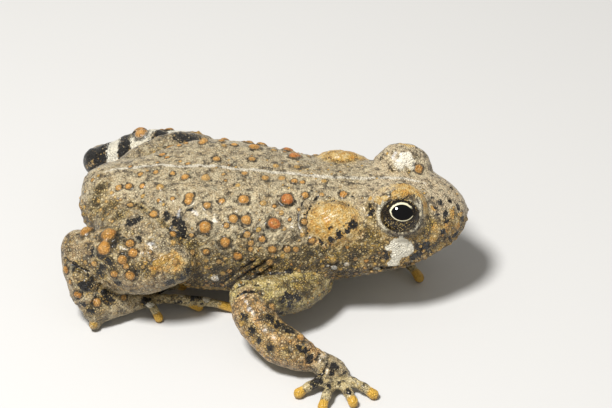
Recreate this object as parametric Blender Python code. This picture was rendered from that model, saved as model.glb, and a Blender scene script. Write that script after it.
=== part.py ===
"""A western toad at life size, sitting with its head raised, as a still museum model.

Lengths below are in millimetres, and every mesh is scaled to metres as it is made. +Z is up and
the floor is z = 0. The toad faces +X, its left side is +Y. The flesh is made as one body form and
a row of rounded limb forms, each cut clear of what it grows from by a thin gap.
"""

import math
import random

import bmesh
import bpy
import numpy as np
from mathutils import Matrix, Vector

MM = 0.001
GAP = 0.3
SIDES = ("left", "right")
# The middle of the footprint, which is the model's origin.
MIDDLE = (-0.949, -3.237)

# Body and head in one row of sections from vent to snout:
# (x, half width, top z, bottom z, z of the widest line, squareness)
BODY_SECTIONS = (
    (-25.6, 1.4, 12.2, 9.4, 10.8, 2.0),
    (-24.6, 3.8, 14.0, 7.2, 10.5, 2.1),
    (-22.0, 6.2, 15.4, 5.0, 9.9, 1.9),
    (-17.5, 7.6, 16.4, 3.2, 9.3, 1.85),
    (-11.0, 10.8, 17.1, 2.2, 8.9, 2.8),
    (-4.0, 11.4, 17.1, 1.8, 8.6, 2.6),
    (3.0, 10.7, 16.8, 2.0, 8.6, 2.2),
    (9.0, 9.6, 16.6, 3.2, 9.1, 2.1),
    (14.0, 9.1, 16.9, 5.0, 9.7, 2.3),
    (18.5, 8.4, 17.0, 6.5, 10.1, 2.4),
    (22.0, 6.4, 16.2, 7.6, 10.8, 2.4),
    (24.3, 4.6, 15.0, 8.5, 11.3, 2.3),
    (25.7, 2.8, 13.8, 9.5, 11.7, 2.1),
    (26.4, 1.2, 12.8, 10.6, 11.8, 2.0),
)
NECK_X = 13.0

# The line of the mouth in side view, (x, z), from the corner at the back to the lip.
MOUTH_LINE = ((13.0, 8.4), (15.5, 8.7), (19.5, 8.9), (22.5, 9.4), (25.0, 10.5), (27.0, 11.6))

EYE_CENTRE = (17.7, 5.4, 15.2)
EYE_RADIUS = 3.0
# The way the eye's opening faces on the left side, and its half sizes along the head and up it.
EYE_FACES = (0.10, 0.82, 0.56)
EYE_OPENING = (2.95, 2.55)
# Rings of the cone that cuts the opening: reach from the eye's middle, and share of its size.
EYE_CONE = ((1.0, 0.8), (2.4, 1.0), (6.0, 1.25))
LID_CENTRE = (17.4, 5.2, 15.5)
LID_SIZE = (4.15, 3.8, 4.05)
# A nostril's x and turn about the snout, and its half size.
NOSTRIL = (24.2, 77, 0.42)

PAROTOID_CENTRE = (9.1, 6.9, 14.2)
PAROTOID_SIZE = (3.7, 2.8, 1.5)
PAROTOID_LEAN = 48

# Joints of the limbs, for each side. Numbers after a place are half width and half height.
ARM = {
    "right": {
        "upper": (
            (6.5, -8.2, 5.8, 2.9, 3.0),
            (4.1, -11.7, 6.0, 2.7, 2.8),
            (1.2, -13.8, 6.9, 2.5, 2.6),
            (-1.4, -15.2, 7.6, 2.1, 2.2),
        ),
        "fore": (
            (-1.4, -15.2, 7.6, 2.1, 2.2),
            (-0.2, -16.9, 5.8, 2.5, 2.7),
            (2.6, -19.0, 4.1, 2.6, 2.7),
            (5.6, -20.2, 3.1, 2.4, 2.4),
            (8.6, -20.7, 2.1, 1.4, 1.5),
        ),
        "palm": (11.0, -21.6, 1.25),
        "tips": ((16.2, -24.6), (13.7, -26.4), (9.9, -27.6), (6.6, -25.4)),
    },
    "left": {
        "upper": (
            (8.0, 7.2, 6.0, 3.0, 3.1),
            (6.0, 10.6, 6.0, 2.8, 2.8),
            (4.2, 13.1, 6.3, 2.5, 2.5),
            (2.4, 15.0, 6.7, 2.2, 2.1),
        ),
        "fore": (
            (2.4, 15.0, 6.7, 2.2, 2.1),
            (5.0, 13.6, 5.6, 2.6, 2.7),
            (8.3, 11.6, 4.2, 2.5, 2.6),
            (10.8, 9.8, 3.1, 2.2, 2.2),
            (12.9, 8.4, 2.1, 1.4, 1.5),
        ),
        "palm": (15.0, 6.6, 1.25),
        "tips": ((15.0, 3.0), (17.4, 2.9), (20.4, -0.1), (19.8, 6.2)),
    },
}
# The hand's sections are at these shares of the way from the wrist to the palm, with a half
# width and half height, and the last is lowered to FRONT_HEIGHT.
HAND_SECTIONS = ((0.0, 1.5, 1.5), (0.6, 1.9, 1.35), (1.0, 2.0, 1.15), (1.25, 1.7, 0.95))
HAND_OVERLAP = 0.25
FRONT_HEIGHT = 1.0
# Digits: radius, arch above the floor, and how far from their root's middle they start.
FINGER = (0.72, 0.5, 1.5)

LEG = {
    "right": {
        "thigh": (
            (-20.0, -4.2, 10.4, 3.2, 3.4),
            (-17.0, -7.6, 11.0, 3.4, 3.5),
            (-13.8, -10.4, 10.9, 3.2, 3.3),
            (-11.0, -12.2, 10.0, 2.6, 2.7),
        ),
        "shank": (
            (-11.0, -12.2, 10.0, 2.6, 2.7),
            (-14.6, -12.2, 9.3, 3.1, 3.9),
            (-19.0, -11.3, 9.0, 3.2, 4.5),
            (-22.4, -9.8, 8.8, 2.8, 3.8),
            (-24.5, -8.7, 8.8, 2.3, 2.6),
        ),
        "tarsus": (
            (-24.5, -8.7, 8.8, 2.3, 2.6),
            (-24.1, -11.0, 6.8, 2.1, 2.5),
            (-23.1, -12.5, 4.8, 2.1, 2.4),
            (-21.6, -13.5, 3.1, 1.9, 1.9),
        ),
        "foot": (
            (-21.6, -13.6, 2.4, 1.7, 2.0),
            (-19.9, -12.3, 2.7, 2.0, 2.1),
            (-18.2, -11.3, 2.4, 1.9, 1.8),
            (-16.6, -10.4, 2.0, 1.6, 1.3),
        ),
        "tips": ((-14.6, -5.6), (-11.4, -5.2), (-8.6, -9.4), (-4.0, -9.1), (-13.6, -12.2)),
    },
    "left": {
        "thigh": (
            (-20.0, 4.2, 10.4, 3.2, 3.4),
            (-17.0, 7.6, 11.0, 3.4, 3.5),
            (-13.8, 10.6, 10.9, 3.2, 3.3),
            (-11.0, 12.6, 10.0, 2.6, 2.7),
        ),
        "shank": (
            (-11.0, 12.6, 10.0, 2.6, 2.7),
            (-14.6, 13.5, 9.2, 3.0, 3.3),
            (-19.4, 14.3, 8.0, 3.0, 3.4),
            (-23.6, 14.8, 6.4, 2.5, 2.8),
            (-26.2, 14.8, 5.8, 2.1, 2.2),
        ),
        "tarsus": (
            (-26.2, 14.8, 5.8, 2.1, 2.2),
            (-26.0, 16.6, 4.8, 2.1, 2.3),
            (-25.5, 18.2, 3.7, 2.1, 2.2),
            (-24.6, 19.4, 2.6, 1.8, 1.8),
        ),
        "foot": (
            (-24.9, 20.0, 1.8, 1.5, 1.5),
            (-23.4, 19.0, 2.1, 1.9, 1.5),
            (-21.4, 18.0, 1.9, 1.8, 1.3),
            (-19.8, 17.4, 1.7, 1.5, 1.0),
        ),
        "tips": ((-17.6, 13.4), (-14.2, 13.0), (-10.8, 14.9), (-7.8, 17.4), (-14.6, 20.6)),
    },
}
TOE = (0.66, 0.9, 1.0)
# Thickness along a digit, as shares of its length and radius.
DIGIT_SHAPE = ((0, 1.0), (0.35, 0.95), (0.7, 0.85), (1.0, 0.95))
# The tubercle under the heel: its size, and its place from the foot's first section.
TUBERCLE_SIZE = (0.95, 0.95, 1.0)
TUBERCLE_BACK = 0.1
TUBERCLE_OUT = 0.9
TUBERCLE_HEIGHT = 0.85

# The main warts of the back and flank: x, turn in degrees from the left side (0) over the
# back (90) to the right side (180), and radius.
RIGHT_WARTS = (
    (2.9, 115, 1.15),
    (1.4, 136, 1.05),
    (-2.7, 116, 0.85),
    (-7.3, 143, 1.0),
    (-2.0, 135, 0.8),
    (-4.2, 138, 0.75),
    (-4.6, 157, 0.8),
    (-2.9, 170, 0.75),
    (-5.6, 120, 0.65),
    (-7.4, 122, 0.65),
    (-9.9, 120, 0.7),
    (-14.0, 109, 0.7),
    (-16.4, 110, 0.65),
    (-19.7, 115, 0.65),
    (-18.2, 112, 0.6),
    (5.3, 109, 0.6),
    (-0.3, 119, 0.55),
    (-14.3, 137, 0.65),
    (9.8, 172, 0.55),
    (9.6, 182, 0.6),
    (-6.6, 176, 0.55),
    (-8.0, 187, 0.55),
    (-5.1, 190, 0.55),
)
# Those beside the pale line along the middle of the back, which both sides show.
BACK_WARTS = (
    (-16.9, 99, 0.6),
    (-14.9, 96, 0.55),
    (-11.2, 101, 0.65),
    (-8.2, 97, 0.6),
    (-3.2, 95, 0.6),
    (-0.3, 98, 0.6),
    (1.8, 96, 0.55),
    (4.0, 99, 0.55),
    (7.5, 97, 0.55),
    (-14.6, 80, 0.65),
    (-7.6, 83, 0.65),
    (-2.9, 80, 0.6),
    (0.6, 83, 0.6),
    (5.0, 80, 0.5),
)
# How far the left side's warts may stand from mirrored places of the right side's.
WART_SHIFT = (0.7, 4.0)
# Warts of a limb: the share of its length, turn about it, and radius.
SHANK_WARTS = {
    "right": (
        (0.90, 95, 0.9),
        (0.72, 74, 0.9),
        (0.74, 42, 0.95),
        (0.48, 54, 0.75),
        (0.57, 28, 0.65),
        (0.62, 357, 0.65),
        (0.45, 350, 0.65),
    ),
    "left": (
        (0.55, 92, 1.0),
        (0.72, 78, 0.7),
        (0.30, 80, 0.7),
        (0.62, 40, 0.7),
        (0.42, 20, 0.65),
    ),
}
FOREARM_WARTS = ((0.25, 240, 0.5), (0.45, 225, 0.5), (0.65, 235, 0.45), (0.5, 60, 0.5))
WART_SIDES = 6
WART_HEIGHT = 0.45
WART_ROOT = 0.6

# Colours are (red, green, blue) in linear light, then roughness.
GREY_BEIGE = (0.26, 0.21, 0.15, 0.62)
LIMB_TAN = (0.24, 0.18, 0.11, 0.60)
BELLY_CREAM = (0.45, 0.39, 0.26, 0.60)
HAND_TAN = (0.30, 0.21, 0.11, 0.58)
DIGIT_YELLOW = (0.52, 0.36, 0.10, 0.55)
EYE_DARK = (0.03, 0.024, 0.014, 0.12)

RING_POINTS = 34
LIMB_POINTS = 14
DIGIT_POINTS = 8
HAND_RINGS = 9
FOOT_RINGS = 8
DIGIT_RINGS = 6
# Angles of the rings that round off the ends of limbs and of digits.
LIMB_END = (28, 55, 80)
DIGIT_END = (35, 70)
SHARP_FROM = 35


def smooth_rows(rows, count):
    """Rows of numbers read at even steps along a smooth curve through the given rows."""
    given = np.array(rows, float)
    before = 2 * given[0] - given[1]
    after = 2 * given[-1] - given[-2]
    padded = np.vstack([before, given, after])
    read = []
    for t in np.linspace(0, len(given) - 1, count):
        i = min(int(t), len(given) - 2)
        f = t - i
        a, b, c, d = padded[i : i + 4]
        read.append(
            0.5 * (2 * b + (c - a) * f + (2 * a - 5 * b + 4 * c - d) * f**2)
            + 0.5 * (3 * b - a - 3 * c + d) * f**3
        )
    return np.array(read)


BODY_ROWS = smooth_rows(BODY_SECTIONS, 400)


def mesh_from_rings(rings):
    """A closed bmesh over rings of points, each end closed on a point in its middle."""
    bm = bmesh.new()
    loops = [[bm.verts.new(p) for p in ring] for ring in rings]
    n = len(loops[0])
    for one, two in zip(loops, loops[1:]):
        for i in range(n):
            j = (i + 1) % n
            bm.faces.new((one[i], one[j], two[j], two[i]))
    for loop, flip in ((loops[0], True), (loops[-1], False)):
        pole = bm.verts.new(sum((v.co for v in loop), Vector()) / n)
        for i in range(n):
            pair = (loop[i], loop[(i + 1) % n])
            bm.faces.new((pole, *(reversed(pair) if flip else pair)))
    bmesh.ops.recalc_face_normals(bm, faces=bm.faces)
    return bm


def body_section(x, grow=0.0):
    """Half width, top, bottom, widest z and squareness of the body at x."""
    width, top, bottom, widest, square = (
        np.interp(x, BODY_ROWS[:, 0], BODY_ROWS[:, k]) for k in range(1, 6)
    )
    return width + grow, top + grow, bottom - grow, widest, square


def body_point(x, turn, grow=0.0):
    """The point of the body's skin at x, turned from the left side (0) up over the back."""
    width, top, bottom, widest, square = body_section(x, grow)
    side = math.cos(turn)
    rise = math.sin(turn)
    reach = top - widest if rise > 0 else widest - bottom
    y = width * math.copysign(abs(side) ** (2 / square), side)
    z = widest + reach * math.copysign(abs(rise) ** (2 / square), rise)
    return Vector((x, y, z))


def body_form(grow=0.0, rings=38):
    """The whole body and head as one closed form, grown outwards by grow."""
    first = BODY_SECTIONS[0][0]
    last = BODY_SECTIONS[-1][0]
    rows = []
    for k in range(rings):
        s = k / (rings - 1)
        x = first + (last - first) * (s - math.sin(2 * math.pi * s) / (4 * math.pi))
        rows.append(
            [
                body_point(x, 2 * math.pi * i / RING_POINTS, grow)
                for i in range(RING_POINTS)
            ]
        )
    return mesh_from_rings(rows)


def tube_form(rows, points, count, grow=0.0, end_turns=LIMB_END):
    """A limb's rounded form along rows of (x, y, z, half width, half height)."""
    path = smooth_rows(rows, count)
    places = [Vector(r[:3]) for r in path]
    ways = [
        (places[min(i + 1, count - 1)] - places[max(i - 1, 0)]).normalized()
        for i in range(count)
    ]
    rings = []

    def ring(place, way, wide, high):
        side = way.cross(Vector((0, 0, 1))).normalized()
        lift = side.cross(way)
        turns = [2 * math.pi * i / points for i in range(points)]
        rings.append(
            [place + side * math.cos(t) * wide + lift * math.sin(t) * high for t in turns]
        )

    for end, steps in ((0, end_turns[::-1]), (-1, end_turns)):
        sign = -1 if end == 0 else 1
        if end == -1:
            for place, way, row in zip(places, ways, path):
                ring(place, way, row[3] + grow, row[4] + grow)
        wide, high = path[end][3] + grow, path[end][4] + grow
        reach = (wide + high) / 2
        for degrees in steps:
            a = math.radians(degrees)
            place = places[end] + ways[end] * sign * reach * math.sin(a)
            ring(place, ways[end], wide * math.cos(a), high * math.cos(a))
    return mesh_from_rings(rings)


def blob_form(centre, size, grow=0.0, segments=16):
    """An ellipsoid."""
    bm = bmesh.new()
    bmesh.ops.create_uvsphere(bm, u_segments=segments, v_segments=segments // 2, radius=1)
    for v in bm.verts:
        v.co = Vector(centre) + Vector(v.co[i] * (size[i] + grow) for i in range(3))
    return bm


def wart_form(place, way, radius):
    """A low round wart that stands on a surface at place, with its root sunk in it."""
    across = way.orthogonal().normalized()
    beside = way.cross(across)
    rings = []
    for rise, spread in ((-WART_ROOT, 0.8), (0.02, 1.0), (WART_HEIGHT * 0.75, 0.66)):
        rings.append(
            [
                place
                + way * radius * rise
                + (across * math.cos(t) + beside * math.sin(t)) * radius * spread
                for t in (2 * math.pi * i / WART_SIDES for i in range(WART_SIDES))
            ]
        )
    bm = mesh_from_rings(rings)
    top = max(bm.verts, key=lambda v: (v.co - place).dot(way))
    top.co = place + way * radius * WART_HEIGHT
    return bm


def body_way(x, turn):
    """The way out of the body's skin at x and turn."""
    step = 0.2
    along = body_point(x + step, turn) - body_point(x - step, turn)
    around = body_point(x, turn + 0.05) - body_point(x, turn - 0.05)
    return along.cross(around).normalized()


def body_warts():
    """The warts of both sides, those of the left mirrored and shifted a little at random."""
    draw = random.Random(7)
    places = list(BACK_WARTS) + list(RIGHT_WARTS)
    for x, degrees, radius in RIGHT_WARTS:
        x += draw.uniform(-1, 1) * WART_SHIFT[0]
        degrees = 180 - degrees + draw.uniform(-1, 1) * WART_SHIFT[1]
        places.append((x, degrees, radius * draw.uniform(0.85, 1.1)))
    forms = []
    for x, degrees, radius in places:
        turn = math.radians(degrees)
        forms.append(wart_form(body_point(x, turn), body_way(x, turn), radius))
    return forms


def limb_warts(rows, warts, side, cuts=()):
    """Warts on a limb's form, turned about it from its outer side upwards.

    Each cut is a place and a way: the limb lies on the side that the way points to."""
    path = smooth_rows(rows, 60)
    outer = 1 if side == "left" else -1
    forms = []
    for share, degrees, radius in warts:
        k = int(share * (len(path) - 2))
        row = path[k]
        along = (Vector(path[k + 1][:3]) - Vector(row[:3])).normalized()
        sideways = along.cross(Vector((0, 0, 1))).normalized()
        if sideways.y * outer < 0:
            sideways = -sideways
        lift = along.cross(sideways)
        if lift.z < 0:
            lift = -lift
        t = math.radians(degrees)
        place = Vector(row[:3]) + sideways * math.cos(t) * row[3] + lift * math.sin(t) * row[4]
        way = (sideways * math.cos(t) / row[3] + lift * math.sin(t) / row[4]).normalized()
        form = wart_form(place, way, radius)
        for cut, inward in cuts:
            keep_side(form, cut, inward)
        if form.faces:
            forms.append(form)
    return forms


def keep_side(bm, place, way):
    """Keeps what lies on the side of a plane that way points to, and closes the cut."""
    everything = bm.verts[:] + bm.edges[:] + bm.faces[:]
    bmesh.ops.bisect_plane(
        bm, geom=everything, plane_co=place, plane_no=way, clear_inner=True, dist=1e-5
    )
    rim = [e for e in bm.edges if e.is_boundary]
    bmesh.ops.holes_fill(bm, edges=rim)
    bmesh.ops.recalc_face_normals(bm, faces=bm.faces)
    return bm


def part_at_joint(first, second, joint, first_way, second_way):
    """Parts two forms that share a joint by the plane that halves the angle between them.

    Gives the two cuts that were made, each as a place and a way."""
    across = (first_way - second_way).normalized()
    cuts = ((joint + across * GAP / 2, across), (joint - across * GAP / 2, -across))
    keep_side(first, *cuts[0])
    keep_side(second, *cuts[1])
    return cuts


def stand_flat(bm):
    """Cuts away what would go below the floor, which leaves a small flat there."""
    if min(v.co.z for v in bm.verts) < 0:
        keep_side(bm, Vector((0, 0, 0)), Vector((0, 0, 1)))
    return bm


def material(name, colour):
    """A plain material of a colour and its roughness."""
    made = bpy.data.materials.new(name)
    made.use_nodes = True
    shader = made.node_tree.nodes["Principled BSDF"]
    shader.inputs["Base Color"].default_value = (*colour[:3], 1)
    shader.inputs["Roughness"].default_value = colour[3]
    shader.inputs["Metallic"].default_value = 0.0
    made.diffuse_color = (*colour[:3], 1)
    return made


def named_object(name, bm, colour):
    """Puts a form made in millimetres into the scene as an object in metres."""
    shift = Vector((-MIDDLE[0], -MIDDLE[1], 0))
    bmesh.ops.translate(bm, verts=bm.verts, vec=shift)
    bmesh.ops.scale(bm, verts=bm.verts, vec=(MM, MM, MM))
    bmesh.ops.triangulate(bm, faces=bm.faces)
    mesh = bpy.data.meshes.new(name)
    bm.to_mesh(mesh)
    bm.free()
    mesh.shade_smooth()
    mesh.set_sharp_from_angle(angle=math.radians(SHARP_FROM))
    obj = bpy.data.objects.new(name, mesh)
    mesh.materials.append(material(name + "_skin", colour))
    bpy.context.collection.objects.link(obj)
    return obj


def apply_boolean(obj, operation, other, solver="EXACT"):
    """Joins or cuts obj by another object or by a collection of them, and applies it."""
    step = obj.modifiers.new(operation.lower(), "BOOLEAN")
    step.operation = operation
    step.solver = solver
    if isinstance(other, bpy.types.Collection):
        step.operand_type = "COLLECTION"
        step.collection = other
    else:
        step.object = other
    evaluated = obj.evaluated_get(bpy.context.evaluated_depsgraph_get())
    result = bpy.data.meshes.new_from_object(evaluated)
    obj.modifiers.clear()
    old = obj.data
    obj.data = result
    bpy.data.meshes.remove(old)
    keep_largest(obj)
    obj.data.set_sharp_from_angle(angle=math.radians(SHARP_FROM))


def keep_largest(obj):
    """Drops every closed surface of a node but its largest."""
    bm = bmesh.new()
    bm.from_mesh(obj.data)
    left = set(bm.verts)
    shells = []
    while left:
        shell = {left.pop()}
        edge_of = list(shell)
        while edge_of:
            for e in edge_of.pop().link_edges:
                for v in e.verts:
                    if v in left:
                        left.discard(v)
                        shell.add(v)
                        edge_of.append(v)
        shells.append(shell)
    spare = [v for s in shells if s is not max(shells, key=len) for v in s]
    bmesh.ops.delete(bm, geom=spare, context="VERTS")
    bm.to_mesh(obj.data)
    bm.free()


def cut_clear(obj, form):
    """Cuts a form, already grown by the gap, out of an object."""
    cutter = named_object("cutter", form, GREY_BEIGE)
    apply_boolean(obj, "DIFFERENCE", cutter)
    bpy.data.objects.remove(cutter)


def join_forms(obj, forms):
    """Fuses more forms into an object by one union."""
    group = bpy.data.collections.new("forms")
    pieces = []
    for form in forms:
        piece = named_object("form", form, GREY_BEIGE)
        bpy.context.collection.objects.unlink(piece)
        group.objects.link(piece)
        pieces.append(piece)
    bpy.context.scene.collection.children.link(group)
    apply_boolean(obj, "UNION", group)
    for piece in pieces:
        bpy.data.objects.remove(piece)
    bpy.data.collections.remove(group)


def mirror_y(place, side):
    """A place given for the left side, on either side."""
    return Vector((place[0], place[1] if side == "left" else -place[1], place[2]))


def below_mouth(lift):
    """Everything under the line of the mouth, with that line raised by lift."""
    wide, back, front, low = 20.0, MOUTH_LINE[0][0] - 4, 30.0, -5.0
    line = [(x, z + lift) for x, z in (tuple(r) for r in smooth_rows(MOUTH_LINE, 14))]
    outline = [(back, line[0][1]), *line, (front, line[-1][1] + 1.0), (front, low), (back, low)]
    bm = bmesh.new()
    near = [bm.verts.new((x, -wide, z)) for x, z in outline]
    face = bm.faces.new(near)
    grown = bmesh.ops.extrude_face_region(bm, geom=[face])
    moved = [v for v in grown["geom"] if isinstance(v, bmesh.types.BMVert)]
    bmesh.ops.translate(bm, verts=moved, vec=(0, 2 * wide, 0))
    bmesh.ops.recalc_face_normals(bm, faces=bm.faces)
    return bm


def eye_opening(side):
    """The oval that the lids leave open, as a short cone out of the eye's middle."""
    facing = mirror_y(EYE_FACES, side).normalized()
    along = Vector((1, 0, 0)) - facing * facing.x
    along.normalize()
    rise = facing.cross(along)
    centre = mirror_y(EYE_CENTRE, side)
    turns = [2 * math.pi * i / 20 for i in range(20)]
    rings = []
    for reach, spread in EYE_CONE:
        middle = centre + facing * reach
        wide, high = along * EYE_OPENING[0] * spread, rise * EYE_OPENING[1] * spread
        rings.append([middle + wide * math.cos(t) + high * math.sin(t) for t in turns])
    return mesh_from_rings(rings)


def make_head():
    """Head and lower jaw, parted from the body at the neck and from each other at the mouth."""
    neck = Vector((NECK_X + GAP / 2, 0, 0))
    head = named_object("head", keep_side(body_form(), neck, Vector((1, 0, 0))), GREY_BEIGE)
    lids = [blob_form(mirror_y(LID_CENTRE, s), LID_SIZE, segments=18) for s in SIDES]
    join_forms(head, lids)
    cut_clear(head, below_mouth(GAP / 2))
    for side in SIDES:
        cut_clear(head, eye_opening(side))
        cut_clear(head, blob_form(mirror_y(EYE_CENTRE, side), (EYE_RADIUS,) * 3, GAP, 18))
        turn = math.radians(NOSTRIL[1] if side == "left" else 180 - NOSTRIL[1])
        cut_clear(head, blob_form(body_point(NOSTRIL[0], turn), (NOSTRIL[2],) * 3, 0, 8))
        eye = blob_form(mirror_y(EYE_CENTRE, side), (EYE_RADIUS,) * 3, 0, 20)
        named_object("eye_" + side, eye, EYE_DARK)
    jaw = named_object(
        "lower_jaw", keep_side(body_form(), neck, Vector((1, 0, 0))), BELLY_CREAM
    )
    above = below_mouth(-GAP / 2)
    piece = named_object("cutter", above, GREY_BEIGE)
    apply_boolean(jaw, "INTERSECT", piece)
    bpy.data.objects.remove(piece)


def make_torso():
    """The body behind the neck, with the glands behind the eyes and the main warts."""
    neck = Vector((NECK_X - GAP / 2, 0, 0))
    form = keep_side(body_form(), neck, Vector((-1, 0, 0)))
    torso = named_object("torso", form, GREY_BEIGE)
    glands = []
    for side in SIDES:
        gland = blob_form((0, 0, 0), PAROTOID_SIZE)
        lean = math.radians(-PAROTOID_LEAN if side == "left" else PAROTOID_LEAN)
        turn = Matrix.Rotation(lean, 3, "X")
        bmesh.ops.rotate(gland, verts=gland.verts, cent=(0, 0, 0), matrix=turn)
        bmesh.ops.translate(gland, verts=gland.verts, vec=mirror_y(PAROTOID_CENTRE, side))
        keep_side(gland, neck, Vector((-1, 0, 0)))
        glands.append(gland)
    join_forms(torso, glands)
    join_forms(torso, body_warts())


def chain_ways(first_rows, second_rows):
    """The joint that two rows of sections share, and the way to each one's other end."""
    joint = Vector(second_rows[0][:3])
    first_way = (Vector(first_rows[-2][:3]) - joint).normalized()
    second_way = (Vector(second_rows[1][:3]) - joint).normalized()
    return joint, first_way, second_way


def digit_rows(base, tip, radius, arch):
    """Sections of a finger or toe from inside its palm or sole to its tip on the floor."""
    base, tip = Vector(base), Vector((*tip, radius * 0.92))
    rows = []
    for s, thick in DIGIT_SHAPE:
        place = base.lerp(tip, s)
        place.z += arch * math.sin(math.pi * s)
        rows.append((*place, radius * thick, radius * thick))
    return rows


def digit_form(rows, grow=0.0):
    """A finger or toe over its sections."""
    return tube_form(rows, DIGIT_POINTS, DIGIT_RINGS, grow, end_turns=DIGIT_END)


def make_digits(kind, side, root, tips, sizes, root_rows, root_rings):
    """Fingers or toes, set along the front edge of the palm or foot they grow from."""
    radius, arch, spread = sizes
    root = Vector(root)
    mean = sum((Vector((*t, root.z)) for t in tips), Vector()) / len(tips)
    ahead = (mean - root).normalized()
    made = []
    for k, tip in enumerate(tips, 1):
        way = (Vector((*tip, root.z)) - root).normalized()
        base = root + (way * 0.6 + ahead * 0.4) * spread
        base.z = root.z * 0.85
        rows = digit_rows(base, tip, radius, arch)
        bm = stand_flat(digit_form(rows))
        obj = named_object(f"{kind}_{k}_{side}", bm, DIGIT_YELLOW)
        cut_clear(obj, tube_form(root_rows, LIMB_POINTS, root_rings, GAP))
        for earlier in made[-1:]:
            cut_clear(obj, digit_form(earlier, GAP))
        made.append(rows)


def make_arm(side):
    """Upper arm, forearm, hand and four fingers."""
    arm = ARM[side]
    upper = tube_form(arm["upper"], LIMB_POINTS, 8)
    fore = tube_form(arm["fore"], LIMB_POINTS, 9)
    elbow = part_at_joint(upper, fore, *chain_ways(arm["upper"], arm["fore"]))
    wrist = Vector(arm["fore"][-1][:3])
    back = (Vector(arm["fore"][-2][:3]) - wrist).normalized()
    keep_side(fore, wrist + back * GAP / 2, back)
    palm_rows = hand_rows(arm)
    hand = tube_form(palm_rows, LIMB_POINTS, HAND_RINGS)
    keep_side(hand, wrist - back * GAP / 2, -back)
    stand_flat(hand)
    obj = named_object("upper_arm_" + side, upper, BELLY_CREAM)
    cut_clear(obj, body_form(GAP))
    obj = named_object("forearm_" + side, fore, LIMB_TAN)
    cut_clear(obj, body_form(GAP))
    join_forms(obj, limb_warts(arm["fore"], FOREARM_WARTS, side, (elbow[1],)))
    named_object("hand_" + side, hand, HAND_TAN)
    make_digits("finger", side, arm["palm"], arm["tips"], FINGER, palm_rows, HAND_RINGS)


def hand_rows(arm):
    """Sections of the hand from the wrist to the front of the palm."""
    wrist = Vector(arm["fore"][-1][:3])
    palm = Vector(arm["palm"])
    start = wrist + (Vector(arm["fore"][-2][:3]) - wrist) * HAND_OVERLAP
    rows = [(*start, *HAND_SECTIONS[0][1:])]
    for share, wide, high in HAND_SECTIONS:
        rows.append([*(wrist + (palm - wrist) * share), wide, high])
    rows[-1][2] = FRONT_HEIGHT
    return rows


def make_leg(side):
    """Thigh, shank, tarsus, foot and five toes."""
    leg = LEG[side]
    thigh = tube_form(leg["thigh"], LIMB_POINTS, 8)
    shank = tube_form(leg["shank"], LIMB_POINTS, 11)
    tarsus = tube_form(leg["tarsus"], LIMB_POINTS, 8)
    foot = stand_flat(tube_form(leg["foot"], LIMB_POINTS, FOOT_RINGS))
    knee = part_at_joint(thigh, shank, *chain_ways(leg["thigh"], leg["shank"]))
    heel = part_at_joint(shank, tarsus, *chain_ways(leg["shank"], leg["tarsus"]))
    obj = named_object("thigh_" + side, thigh, LIMB_TAN)
    cut_clear(obj, body_form(GAP))
    obj = named_object("shank_" + side, shank, LIMB_TAN)
    cut_clear(obj, body_form(GAP))
    warts = limb_warts(leg["shank"], SHANK_WARTS[side], side, (knee[1], heel[0]))
    join_forms(obj, warts)
    obj = named_object("tarsus_" + side, tarsus, LIMB_TAN)
    cut_clear(obj, body_form(GAP))
    cut_clear(obj, tube_form(leg["foot"], LIMB_POINTS, FOOT_RINGS, GAP))
    sole = named_object("foot_" + side, foot, HAND_TAN)
    back = Vector(leg["foot"][0][:3])
    out = TUBERCLE_OUT if side == "left" else -TUBERCLE_OUT
    place = (back.x - TUBERCLE_BACK, back.y + out, TUBERCLE_HEIGHT)
    join_forms(sole, [stand_flat(blob_form(place, TUBERCLE_SIZE, 0, 10))])
    make_digits("toe", side, leg["foot"][-1][:3], leg["tips"], TOE, leg["foot"], FOOT_RINGS)


def main():
    for old in list(bpy.data.objects):
        bpy.data.objects.remove(old)
    make_torso()
    make_head()
    for side in SIDES:
        make_arm(side)
        make_leg(side)


main()
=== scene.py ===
"""Dresses the frame of a sitting toad: one skin over the body, its warts and marks, and wet eyes.

The body's forms are drawn in millimetres from the drawing's own middle, with the toad facing +X and
its left side towards +Y, and are moved to the frame's place once they are sculpted.
"""

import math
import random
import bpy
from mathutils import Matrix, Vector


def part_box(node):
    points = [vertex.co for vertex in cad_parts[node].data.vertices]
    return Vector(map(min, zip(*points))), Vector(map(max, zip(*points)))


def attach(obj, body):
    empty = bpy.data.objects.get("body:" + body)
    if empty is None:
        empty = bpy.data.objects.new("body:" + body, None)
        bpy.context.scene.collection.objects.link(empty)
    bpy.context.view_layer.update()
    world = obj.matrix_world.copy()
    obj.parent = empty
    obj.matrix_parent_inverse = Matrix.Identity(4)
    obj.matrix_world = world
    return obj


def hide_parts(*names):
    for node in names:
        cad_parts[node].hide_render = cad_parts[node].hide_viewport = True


bl_info = {
    "name": "Sitting Toad Model",
    "version": (1, 0, 0),
    "blender": (4, 5, 0),
    "location": "View3D > Sidebar > Toad",
    "description": "Makes the skin, eyes and studio of a life-size toad model",
    "category": "Add Mesh",
}

import bpy
import numpy as np
from mathutils import Matrix, Vector, noise
from mathutils.bvhtree import BVHTree
from mathutils.kdtree import KDTree

MM = 0.001
SIDES = ("right", "left")

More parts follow.
